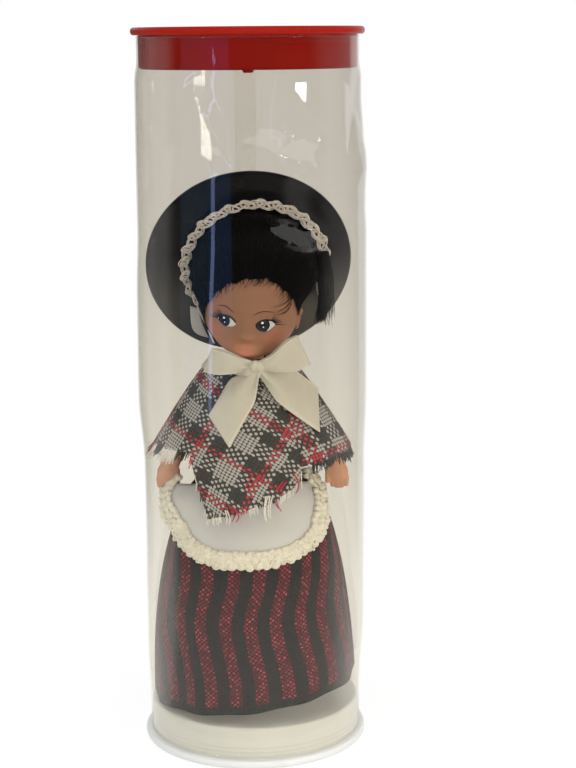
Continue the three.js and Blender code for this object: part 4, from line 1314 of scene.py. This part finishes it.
def skirt_point(x, y):
    level = skirt_level(y)
    return on_bell(x * math.pi, level, fold_depth(x * math.pi, level))


def skirt_cloth(x, y):
    """The stripes keep their width up the skirt, and bend to one side and back on their way down."""
    level = skirt_level(y)
    sway = 4.1 * ease(level, 0.58, 0.93) + 2.8 * ease(-level, -0.62, -0.4)
    uneven = 0.5 * math.sin(3 * x * math.pi + 5 * level)
    return x * math.pi * bell_radius(level) - sway - uneven + STRIPE_START, level * (WAIST_Z - HEM_Z)


def petticoat_point(x, y):
    level = mix(0.08, 0.955, skirt_level(y))
    ripple = 0.15 * math.sin(14 * x * math.pi) * level
    return on_bell(x * math.pi, level, ripple - PETTICOAT_GAP)


def band(height, inside, thickness):
    outside = inside + thickness
    ring = [
        (inside, 0.2), (inside, height), (inside + 0.2, height + 0.2), (outside - 0.2, height + 0.2),
        (outside, height), (outside, 0.2), (outside - 0.2, 0), (inside + 0.2, 0), (inside, 0.2),
    ]
    matrix = Matrix.Translation((0, 0, WAIST_Z + 0.2)) @ Matrix.Diagonal((1, WAIST_SQUASH, 1, 1))
    return placed(spun(ring, 96), matrix)


def apron_edge(s):
    """How far aside and down the edge of the flat apron is, with its full round corners."""
    turn = s * math.pi / 2
    aside = math.copysign(abs(math.sin(turn)) ** APRON_SQUARENESS, s) * APRON_HALF
    return aside, max(math.cos(turn), 0) ** APRON_SQUARENESS * APRON_DROP


def on_apron(s, across, out):
    """A place on the apron: s runs round its edge from -1 to 1, and across is 1 at the cloth's edge."""
    aside, drop = apron_edge(s)
    level = 0.004 + across * drop / (WAIST_Z - HEM_Z)
    gathered = max(bell_radius(level), 2 * APRON_HALF * APRON_GATHER)
    angle = (across * aside + APRON_ASIDE) / gathered
    return on_bell(angle, level, FOLD_DEPTH * level + 0.4 + out)


def apron_flare(s):
    """How far the apron's edge stands off the skirt by the doll's right hand."""
    return APRON_FLARE * ease(-s, 0.5, 0.9)


APRON_SPAN = 0.94
BRAID_SPAN = 0.97
BRAID_STEPS = 600


def apron_across(y):
    return mix(0.1, 1.04, (1 - y) / 2)


def apron_point(x, y):
    s = x * APRON_SPAN
    across = apron_across(y)
    pleats = 0.22 * math.sin(9 * x + 1) * math.sin(math.pi * (1 - y) / 2)
    return on_apron(s, across, 0.45 + pleats + apron_flare(s) * across * across)


def apron_cloth(x, y):
    across = apron_across(y)
    aside, drop = apron_edge(x * APRON_SPAN)
    return across * aside, across * drop


def make_apron_lace(puffs=42):
    """Thick gathered braid: three rows of soft puffs melted together, with loops of yarn over them."""
    balls = []
    loops = []

    def edge(s, across=1.02):
        return on_apron(s, across, 0.6 + apron_flare(s))

    def along_edge(step):
        return mix(-BRAID_SPAN, BRAID_SPAN, step / BRAID_STEPS)

    walk = [edge(along_edge(step)) for step in range(BRAID_STEPS + 1)]
    lengths = [0]
    for first, second in zip(walk, walk[1:]):
        lengths.append(lengths[-1] + (second - first).length)
    for puff in range(puffs):
        target = lengths[-1] * puff / (puffs - 1)
        step = min(range(BRAID_STEPS + 1), key=lambda number: abs(lengths[number] - target))
        s = along_edge(step)
        here = edge(s)
        ahead = (edge(s + 0.01) - here).normalized()
        beside = (edge(s, 1.2) - here).normalized()
        out = ahead.cross(beside).normalized()
        if out.dot(Vector((here.x, here.y, 0))) < 0:
            out.negate()
        inward = 1.6 * ease(abs(s), 0.35, 0.8)
        for reach, thick, shift in ((0.5 - inward, 1.1, 0), (2.2 - inward / 2, 1.5, 0.5), (4, 1.3, 0)):
            spot = here + beside * (reach + draw.uniform(-0.25, 0.25)) + ahead * shift * 2.2
            spot += out * (0.35 + draw.uniform(-0.15, 0.25))
            size = thick * draw.uniform(0.85, 1.12)
            balls.append((spot, (size, size, size * 0.95), UPRIGHT))
        for reach, wide in ((3.6, 1.9), (2.6, 1.5)):
            lean = math.radians(draw.uniform(-35, 35))
            along = beside * math.cos(lean) + ahead * math.sin(lean)
            across = ahead * math.cos(lean) - beside * math.sin(lean)
            middle = here + beside * draw.uniform(1.4, 3.4) + ahead * draw.uniform(-1, 1) + out * 1.35
            loops.append(chain_stitch(middle, along, across, out, reach, wide, 0.3, draw.uniform(0.8, 1.2)))
    body = moulded(balls, 0.3, 2)
    for vert in body.verts:
        rough = noise.noise(vert.co * 0.9) * 0.28 + noise.noise(vert.co * 2.4) * 0.2
        vert.co += Vector((vert.co.x, vert.co.y, 0)).normalized() * rough
    return together([(0, body), (0, strands(loops, 0.55, closed=True))])


def make_skirts():
    bell = joined_round(grid(264, 54, skirt_point, skirt_cloth))
    skirt = piece("skirt_cloth", bell, "doll", "flannel", "skirt", thickness=0.5)
    bell = joined_round(grid(160, 30, petticoat_point, skirt_cloth))
    lining = piece("petticoat_cloth", bell, "doll", "petticoat_cotton", "petticoat", thickness=0.3)
    piece("waistband", band(4, WAIST_RADIUS, 0.9), "doll", "flannel", "skirt_waistband", sharp=40)
    piece("apron_belt", band(3, WAIST_RADIUS + 1.3, 1), "doll", "apron_cotton", "apron_band", sharp=40)
    front = grid(72, 26, apron_point, apron_cloth)
    panel = piece("apron_cloth", front, "doll", "apron_cotton", "apron", thickness=0.3)
    trim = piece("apron_braid", make_apron_lace(), "doll", "apron_lace", "apron_lace")


# Shawl and ribbon

SHAWL_START = 29
SHAWL_SWEEP = 378
SHAWL_EDGE = [
    # degrees from the front, height of the edge
    (29, 86), (25, 82), (16, 79.6), (6, 78), (-6, 76), (-24.8, 73.4), (-37, 91), (-60, 90.8),
    (-90, 90.5), (-140, 86), (-165, 80), (-195, 80), (-220, 86), (-270, 88.6), (-300, 88.6),
    (-330, 87), (-352, 87),
]
LOOSE_THREADS = [
    # degrees from the front, height of the upper end, length, bend aside, colour
    (1, 86, 7, -2.2, "red"), (2.5, 85, 8, -2.6, "red"), (4, 86, 6, -1.6, "red"),
    (-12, 78, 5, 1.5, "red"), (-10, 77.5, 4.5, 1.8, "red"), (17, 84, 8, -2.4, "red"),
    (19, 84, 9, -2.8, "red"), (23, 86, 6, 1.6, "red"),
    (8, 80.5, 7, -0.6, "white"), (9, 80.5, 7.5, -0.9, "white"), (10, 80.5, 6.5, -0.5, "white"),
    (11.5, 80.5, 6.8, -0.8, "white"), (-14, 76.5, 4, 0.5, "white"), (-13, 76.5, 4.4, 0.8, "white"),
]
FRINGE_STEPS = 330
FRINGE_SPAN = (-0.86, 0.999)
THREAD_THICKNESS = 0.42
SHAWL_SLOPE = 1.19
NECK_RIBBON_DROP = (0.9, 3.15)
TARTAN_TURN = 0.4
TARTAN_SKEW = 0.076
TARTAN_START = (49.7, 21.5)


def shawl_degrees(x):
    """Degrees from the front of a column of the shawl's grid."""
    return SHAWL_START - (1 - x) / 2 * SHAWL_SWEEP


def shawl_edge(angle):
    for (first, high), (last, low) in zip(SHAWL_EDGE, SHAWL_EDGE[1:]):
        if angle >= last:
            return mix(high, low, (first - angle) / (first - last))
    return SHAWL_EDGE[-1][1]


def shawl_section(z, side):
    spread_out = min(max((SHAWL_TOP - z) / (SHAWL_TOP - SHAWL_SIDE_Z), 0) ** 0.85, 1)
    fallen = max((SHAWL_TOP - z) / SHAWL_FALL, 0) ** 0.85
    wide = mix(NECK_LINE + side * 3, SHAWL_REACH, spread_out)
    return wide, mix(NECK_LINE, SHAWL_DEPTH, fallen), fallen


def shawl_place(x, y, out=0):
    """A place on the shawl, which wraps once round and laps over itself at the front."""
    degrees = shawl_degrees(x)
    angle = math.radians(degrees)
    t = (1 - y) / 2
    z = mix(SHAWL_TOP, shawl_edge(degrees), t)
    side = abs(math.sin(angle))
    wide, deep, fallen = shawl_section(z, side)
    ruck = 0.5 * fallen * math.cos(6 * angle) * (1 - side)
    wave = 0.5 * fallen * noise.noise(Vector((math.sin(angle) * 2.2, math.cos(angle) * 2.2, z / 14)))
    lap = mix(-0.55, 0.45, ease(x, -0.96, 0.9)) + out
    ahead = deep + lap + ruck + wave
    return Vector((math.sin(angle) * (wide + lap + wave), -math.cos(angle) * ahead, z))


def shawl_cloth(x, y):
    """Threads run straight down over each shoulder and cross the back on the bias."""
    degrees = shawl_degrees(x)
    fall = (1 - y) / 2 * (SHAWL_TOP - shawl_edge(degrees)) * SHAWL_SLOPE
    reach = 55 * ((9.5 + 0.54 * fall) / 22) ** 0.74
    turn = math.radians(TARTAN_TURN * (degrees + 180) + 45)
    along = reach * math.sin(turn) - TARTAN_SKEW * degrees
    return along - TARTAN_START[0], -reach * math.cos(turn) - TARTAN_START[1]


def make_fringe():
    """Loose threads along the cut edge, in the colours of the threads that end there."""
    runs = {"white": [], "black": [], "red": []}
    for step in range(FRINGE_STEPS):
        x = mix(*FRINGE_SPAN, step / (FRINGE_STEPS - 1))
        degrees = shawl_degrees(x)
        turned_edge = abs(shawl_edge(degrees - 3) - shawl_edge(degrees + 3))
        number = int(shawl_cloth(x, -1)[1] // WEFT_PITCH) % len(WEFT_THREADS)
        colour = THREAD_NAMES[WEFT_THREADS[number]]
        for _ in range(2 if turned_edge < 1.5 else 1):
            front = abs(degrees) < 28
            length = draw.uniform(0.5, 1.6) if front else draw.uniform(1.2, 3.6)
            length += 1.6 if colour == "white" else 0
            start = shawl_place(x + draw.uniform(-0.003, 0.003), -0.97, -0.2)
            below = shawl_place(x, -1, -0.2)
            down = (below - shawl_place(x, -0.9, -0.2)).normalized()
            drift = Vector((draw.gauss(0, 0.25), draw.gauss(0, 0.25), 0))
            run = []
            for knot in range(5):
                t = knot / 4
                hang = down * length * t + drift * t * t * length * 0.5
                run.append((start + hang, 1 - 0.4 * t))
            runs[colour].append(run)
    for degrees, height, long, bend, colour in LOOSE_THREADS:
        x = 1 - 2 * (SHAWL_START - degrees) / SHAWL_SWEEP
        run = []
        for knot in range(9):
            t = knot / 8
            y = 1 - 2 * (SHAWL_TOP - height) / (SHAWL_TOP - shawl_edge(degrees))
            spot = shawl_place(x, y, 0.9 - 0.3 * t)
            aside = bend * math.sin(2.6 * t)
            run.append((spot + Vector((aside, -0.6 * math.sin(math.pi * t), -long * t)), 1 - 0.3 * t))
        runs[colour].append(run)
    return runs


LOOP_LINE = [
    # share of the way out from the knot, depth behind the knot
    (0.06, 0), (0.32, -1.6), (0.62, -2.4), (0.88, -1.9), (1, -0.3),
    (0.88, 1.4), (0.62, 1.9), (0.32, 1.3), (0.06, 0.3),
]


def bow_loop(side, far, rise, tall, slant):
    """A loop of the bow: out from the knot along its front, round the end and back behind."""
    points = []
    for share, deep in LOOP_LINE:
        along = share * far
        points.append(KNOT + Vector((side * along, deep + along * 0.2, rise * share ** 1.3)))

    def place(x, y):
        middle = curve_point(points, (y + 1) / 2)
        out = abs(middle.x - KNOT.x) / far
        half = mix(1.3, tall / 2, ease(out, 0, 0.8))
        crease = 0.5 * math.cos(3.2 * x + 0.6) * (1 - ease(out, 0.15, 0.8))
        return middle + Vector((-side * x * slant * ease(out, 0.3, 1), -crease, x * half))

    def layout(x, y):
        return x * RIBBON_WIDTH / 2, (y + 1) / 2 * far * 2.2
    return grid(10, 40, place, layout)


def shawl_front(x, z):
    side = 0
    for _ in range(6):
        side = min(abs(x) / shawl_section(min(z, SHAWL_TOP), side)[0], 0.85)
    return -shawl_section(min(z, SHAWL_TOP), side)[1] * math.sqrt(1 - side * side)


def bow_tail(lean, length, skew):
    """A tail of the bow: down from the knot and over the shawl, cut at a slant."""
    tilt = math.radians(lean)

    def place(x, y):
        t = (1 - y) / 2
        along = t * (length + x * skew)
        half = mix(1.5, RIBBON_WIDTH / 2, ease(t, 0, 0.45))
        flat_x = KNOT.x + along * math.sin(tilt) + x * half * math.cos(tilt)
        z = KNOT.z - 0.5 - along * math.cos(tilt) + x * half * math.sin(tilt)
        lying = shawl_front(flat_x, z) - 1.5
        cup = 0.7 * (1 - x * x) * math.sin(math.pi * min(t * 1.1, 1)) + 0.35 * math.sin(5 * t + x)
        cup += 0.7 * (1 + math.cos(4.2 * x + 0.8)) * ease(t, 0, 0.15) * (1 - ease(t, 0.2, 0.75))
        y_place = min(mix(KNOT.y - 0.4, lying, ease(along, 0, length * 0.45)), lying) - cup
        return Vector((flat_x, y_place, z))

    def layout(x, y):
        return x * RIBBON_WIDTH / 2, (1 - y) / 2 * length
    return grid(12, 44, place, layout)


def neck_ribbon(x, y):
    angle = x * math.pi
    spot = Vector((math.sin(angle), -math.cos(angle), 0))
    z = SHAWL_TOP - mix(*NECK_RIBBON_DROP, (y + 1) / 2)
    wide, deep, _ = shawl_section(z, abs(spot.x))
    reach = max(-KNOT.y - deep, 0) * math.exp(-((angle / 0.5) ** 2))
    return Vector((spot.x * (wide + 0.9), spot.y * (deep + 0.9 + reach), z))


def make_bow():
    parts = [
        bow_loop(side=-1, far=14.4, rise=1.5, tall=6.8, slant=1.2),
        bow_loop(side=1, far=13.4, rise=4.2, tall=8.6, slant=1.9),
        bow_tail(lean=-31.5, length=21.5, skew=1.9),
        bow_tail(lean=52.8, length=22.5, skew=-3.9),
        joined_round(grid(64, 4, neck_ribbon, lambda x, y: (y * 4, x * 30))),
    ]
    knot = moulded([
        (KNOT, (2.5, 1.9, 1.7), UPRIGHT),
        (KNOT + Vector((-0.9, -0.8, 0.2)), (1, 1.3, 1.8), turned(0, 12, 0)),
        (KNOT + Vector((0.8, -0.9, 0)), (1, 1.2, 1.8), turned(0, -14, 0)),
    ], 0.3, 4)
    bow = together([(0, part) for part in parts])
    piece("bow_ribbon", bow, "doll", "satin", "ribbon_bow", thickness=0.25)
    knot.loops.layers.uv.new("cloth")
    piece("bow_knot", knot, "doll", "satin")


def make_shawl():
    wrap = grid(260, 60, shawl_place, shawl_cloth)
    cloth = piece("shawl_cloth", wrap, "doll", "tartan", "shawl", thickness=0.6)
    for colour, runs in make_fringe().items():
        fringe = strands(runs, THREAD_THICKNESS)
        piece("fringe_" + colour, fringe, "doll", "tartan", materials=["tartan_" + colour])


# Limbs

ARM_LINE = [
    # place, radius
    (Vector((12.8, 0, 109.5)), 3), (Vector((13.6, 0, 105)), 3.6), (Vector((15.6, 0.3, 100.5)), 3.4),
    (Vector((18, 0.5, 96.3)), 3.2), (Vector((20.3, 0.2, 92.3)), 3.3), (Vector((22.6, -0.4, 88.3)), 3.2),
    (Vector((24.2, -0.9, 85.4)), 3), (Vector((24.9, -1.2, 83.8)), 3),
]
PALM = Vector((25.4, -1.7, 81.2))
FINGER_REACH = (2.9, 3.5, 3.4, 2.7)
HIP_X = 8.1
LEG_LINE = [
    # height, radius
    (HIP_Z + 3, 3.4), (HIP_Z - 2, 4.2), (HIP_Z - 12, 4.6), (HIP_Z - 24, 4), (HIP_Z - 30, 3.6),
    (HIP_Z - 38, 3.9), (HIP_Z - 46, 3.4), (SOLE_Z + 6, 3),
]


def make_arm(side):
    """An arm that hangs a little out, with a mitten-like hand: fingers together and the thumb inward."""
    balls = []
    for (a, thick_a), (b, thick_b) in zip(ARM_LINE, ARM_LINE[1:]):
        for share in (0, 0.33, 0.66):
            thick = mix(thick_a, thick_b, share)
            balls.append((a.lerp(b, share), (thick, thick, thick), UPRIGHT))
    balls.append((PALM, (3.3, 2.5, 3.5), turned(0, -12, 0)))
    for finger, reach in enumerate(FINGER_REACH):
        root = PALM + Vector((-1.5 + finger * 1.4, -0.1, -1.9))
        for knuckle in range(4):
            share = knuckle / 3
            curl = Vector((0, 0.5 * share * share, -reach * share * 0.75))
            thick = mix(1.05, 0.82, share)
            balls.append((root + curl, (thick * 0.86, thick * 1.2, thick), UPRIGHT))
    for knuckle in range(4):
        share = knuckle / 3
        spot = PALM + Vector((-2.7 - 0.3 * share, -0.6 - 0.6 * share, 0.9 - 3.4 * share))
        balls.append((spot, (mix(1.1, 0.85, share),) * 3, UPRIGHT))
    balls.append((Vector((9, 0, SHOULDER_Z)), (2.6, 1.4, 1.4), UPRIGHT))
    flip = Matrix.Diagonal((side, 1, 1, 1))
    flipped = [(flip @ centre, radii, flip @ rotation @ flip) for centre, radii, rotation in balls]
    return moulded(flipped, 0.32, 5)


def make_leg(side):
    balls = []
    for (a, thick_a), (b, thick_b) in zip(LEG_LINE, LEG_LINE[1:]):
        for share in (0, 0.33, 0.66, 1):
            thick = mix(thick_a, thick_b, share)
            spot = Vector((side * (HIP_X + 0.7), 0, mix(a, b, share)))
            balls.append((spot, (thick * 0.85, thick, thick), UPRIGHT))
    return moulded(balls, 0.5, 5)


def make_shoe(side):
    x = side * HIP_X
    balls = [
        (Vector((x, 1.6, SOLE_Z + 2.6)), (3.6, 3.8, 2.4), UPRIGHT),
        (Vector((x, -2.6, SOLE_Z + 2.3)), (3.9, 4.6, 2.1), UPRIGHT),
        (Vector((x, -5.2, SOLE_Z + 2.1)), (3.8, 3.6, 1.9), UPRIGHT),
        (Vector((x, 0.4, SOLE_Z + 4.6)), (3.6, 3.6, 1.7), UPRIGHT),
        (Vector((x, -3.2, SOLE_Z + 4.2)), (3.9, 0.8, 0.9), turned(20, 0, 0)),
    ]
    return moulded(balls, 0.4, 4)


def make_limbs():
    for name, side in (("right", -1), ("left", 1)):
        piece(name + "_arm_skin", make_arm(side), name + "_arm", "skin_vinyl", name + "_arm")
        piece(name + "_leg_skin", make_leg(side), name + "_leg", "body_plastic", name + "_leg")
        piece(name + "_shoe_skin", make_shoe(side), name + "_leg", "shoe_vinyl", name + "_shoe")


# Studio

def seen_directly(bench):
    """1 for what the camera sees straight on, in gloss or through clear plastic."""
    path = bench.node("LightPath", out="Is Camera Ray")
    return (path + path.other("Is Glossy Ray") + path.other("Is Transmission Ray")).clamped()


LAMPS = [
    # name, place, size across and up, power, colour, whether it lights matt finishes,
    # whether it shows in gloss, lean in degrees
    ("window_strip", (-0.221, -0.313, 0.117), (0.022, 0.176), 0.035, (0.42, 0.55, 1), False, True, -16),
    ("window_glow", (-0.204, -0.366, 0.16), (0.175, 0.36), 0.075, (0.13, 0.34, 0.9), False, True, 0),
    ("window_dusk", (-0.342, -0.244, 0.16), (0.2, 0.36), 0.07, (0.2, 0.46, 0.8), False, True, 0),
    ("window_high", (-0.33, -0.34, 0.27), (0.06, 0.05), 0.12, (0.86, 0.93, 1), False, True, 0),
    ("window_right", (0.728, -0.529, 0.17), (0.2, 0.024), 0.25, (0.96, 0.98, 1), False, True, 0),
    ("window_left", (-0.8, -0.25, 0.35), (0.25, 0.9), 1.4, (0.86, 0.93, 1), True, False, 0),
    ("room_right", (0.85, -0.45, 0.4), (0.6, 0.6), 4.2, (1, 0.94, 0.86), True, False, 0),
    ("ceiling", (-0.1, -0.35, 1.1), (0.5, 0.35), 2.4, (1, 0.98, 0.95), True, True, 0),
    ("front_fill", (0.12, -0.8, 0.22), (0.7, 0.3), 3.7, (1, 0.97, 0.93), True, False, 0),
]
LAMP_AIM = Vector((0, 0, 0.11))
FLOOR_HALF = 60
ROOM_START = 0.05
ROOM_REACH = 2.2
ROOM_HEIGHT = 0.5
ROOM_LIFT = 0.0008


def set_world():
    """An even room that is dimmer behind the camera, and a white page for what is seen directly."""
    world = bpy.data.worlds.new("studio")
    bpy.context.scene.world = world
    world.use_nodes = True
    tree = world.node_tree
    bench = Wire(tree)
    ahead = apart(bench.node("TexCoord", out="Generated")).other(1)
    level = 0.9 - 0.5 * spread(0 - ahead, 0.45, 0.98)
    room = bench.node("Background", {}, {"Color": (0.98, 0.99, 1), "Strength": level})
    page = bench.node("Background", {}, {"Color": (1, 1, 1), "Strength": 1})
    whole = bench.node("MixShader", {}, {0: seen_directly(bench), 1: room, 2: page})
    tree.links.new(whole.socket, tree.nodes["World Output"].inputs["Surface"])


def set_lamps():
    for name, place, (wide, tall), power, colour, lights_matt, shows, lean in LAMPS:
        lamp = bpy.data.lights.new(name, "AREA")
        lamp.shape = "RECTANGLE"
        lamp.size = wide
        lamp.size_y = tall
        lamp.energy = power
        lamp.color = colour
        made = linked(name, lamp)
        made.visible_diffuse = lights_matt
        made.visible_glossy = shows
        aim = LAMP_AIM - Vector(place)
        facing = aim.to_track_quat("-Z", "Y").to_matrix().to_4x4()
        made.matrix_world = Matrix.Translation(place) @ facing @ turned(0, 0, lean)


def set_floor():
    """White paper that keeps a faint shadow round the tube."""
    floor = bmesh.new()
    bmesh.ops.create_grid(floor, x_segments=1, y_segments=1, size=FLOOR_HALF)
    mesh = mesh_from("floor", floor)
    ground = linked("floor", mesh)
    material, tree, paper = blank_finish("floor_paper")
    bench = Wire(tree)
    paper.inputs["Base Color"].default_value = (0.95, 0.95, 0.95, 1)
    paper.inputs["Roughness"].default_value = 0.9
    page = bench.node("Emission", {}, {"Color": (1, 1, 1), "Strength": 1})
    far = bench.node("VectorMath", {"operation": "LENGTH"}, {0: on_piece(bench)}, "Value")
    share = (0.82 + 0.18 * spread(far, 0.14, 0.4)) * seen_directly(bench)
    whole = bench.node("MixShader", {}, {0: share, 1: Wire(tree, paper.outputs[0]), 2: page})
    tree.links.new(whole.socket, tree.nodes["Material Output"].inputs["Surface"])
    mesh.materials.append(material)


def room_paint(bench):
    """Dark, and paler at both sides, near the tube and in a far corner on the right."""
    def sector(angle, low, high):
        return spread(angle, math.radians(low), math.radians(high))

    x = apart(on_piece(bench))
    y, z = x.other(1), x.other(2)
    turn = bench.math("ARCTAN2", x, 0 - y)
    right = sector(turn, 62, 90)
    left = sector(0 - turn, 74, 92) * (1 - 0.65 * sector(0 - turn, 112, 138))
    far = (x ** 2 + y ** 2) ** 0.5
    near = 1 - spread(far, 0.06, 0.36)
    corner = sector(turn, 26, 42) * spread(far, 1.4, 1.6) * (1 - right) * spread(0 - z, -0.06, -0.01)
    pale = (0.4 * right + 0.6 * left + 0.6 * near + 0.45 * corner).clamped()
    return {"Base Color": blended(pale, (0.008, 0.008, 0.009), (1, 0.97, 0.94))}


def set_dark_room():
    """The dark floor and walls of the room round the paper, which show in the front of the clear tube."""
    def place(x, y):
        turn = math.radians(mix(-166, 132, (x + 1) / 2))
        reach = mix(ROOM_START, ROOM_REACH, min(y + 1, 1))
        height = ROOM_LIFT + ROOM_HEIGHT * max(y, 0)
        return Vector((math.sin(turn) * reach, -math.cos(turn) * reach, height))

    mesh = mesh_from("dark_room", grid(96, 4, place))
    room = linked("dark_room", mesh)
    room.visible_camera = False
    room.visible_diffuse = False
    room.visible_shadow = False
    mesh.materials.append(finish("room_floor", room_paint, Roughness=0.9))


# The doll

make_display()
make_head()
make_hair()
make_hat()
piece("bonnet_chain", make_bonnet_lace(), "head", "bonnet_lace", "bonnet_lace")
piece("bonnet_stiffener", make_bonnet_card(), "head", "bonnet_lace", materials=["bonnet_card"],
      thickness=0.3)
make_limbs()
make_skirts()
make_shawl()
make_bow()
for node in ("torso_front", "torso_back", "arm_elastic", "leg_elastic"):
    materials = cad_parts[node].data.materials
    materials.clear()
    materials.append(finishes["elastic" if node.endswith("elastic") else "body_plastic"])
set_world()
set_lamps()
set_floor()
set_dark_room()
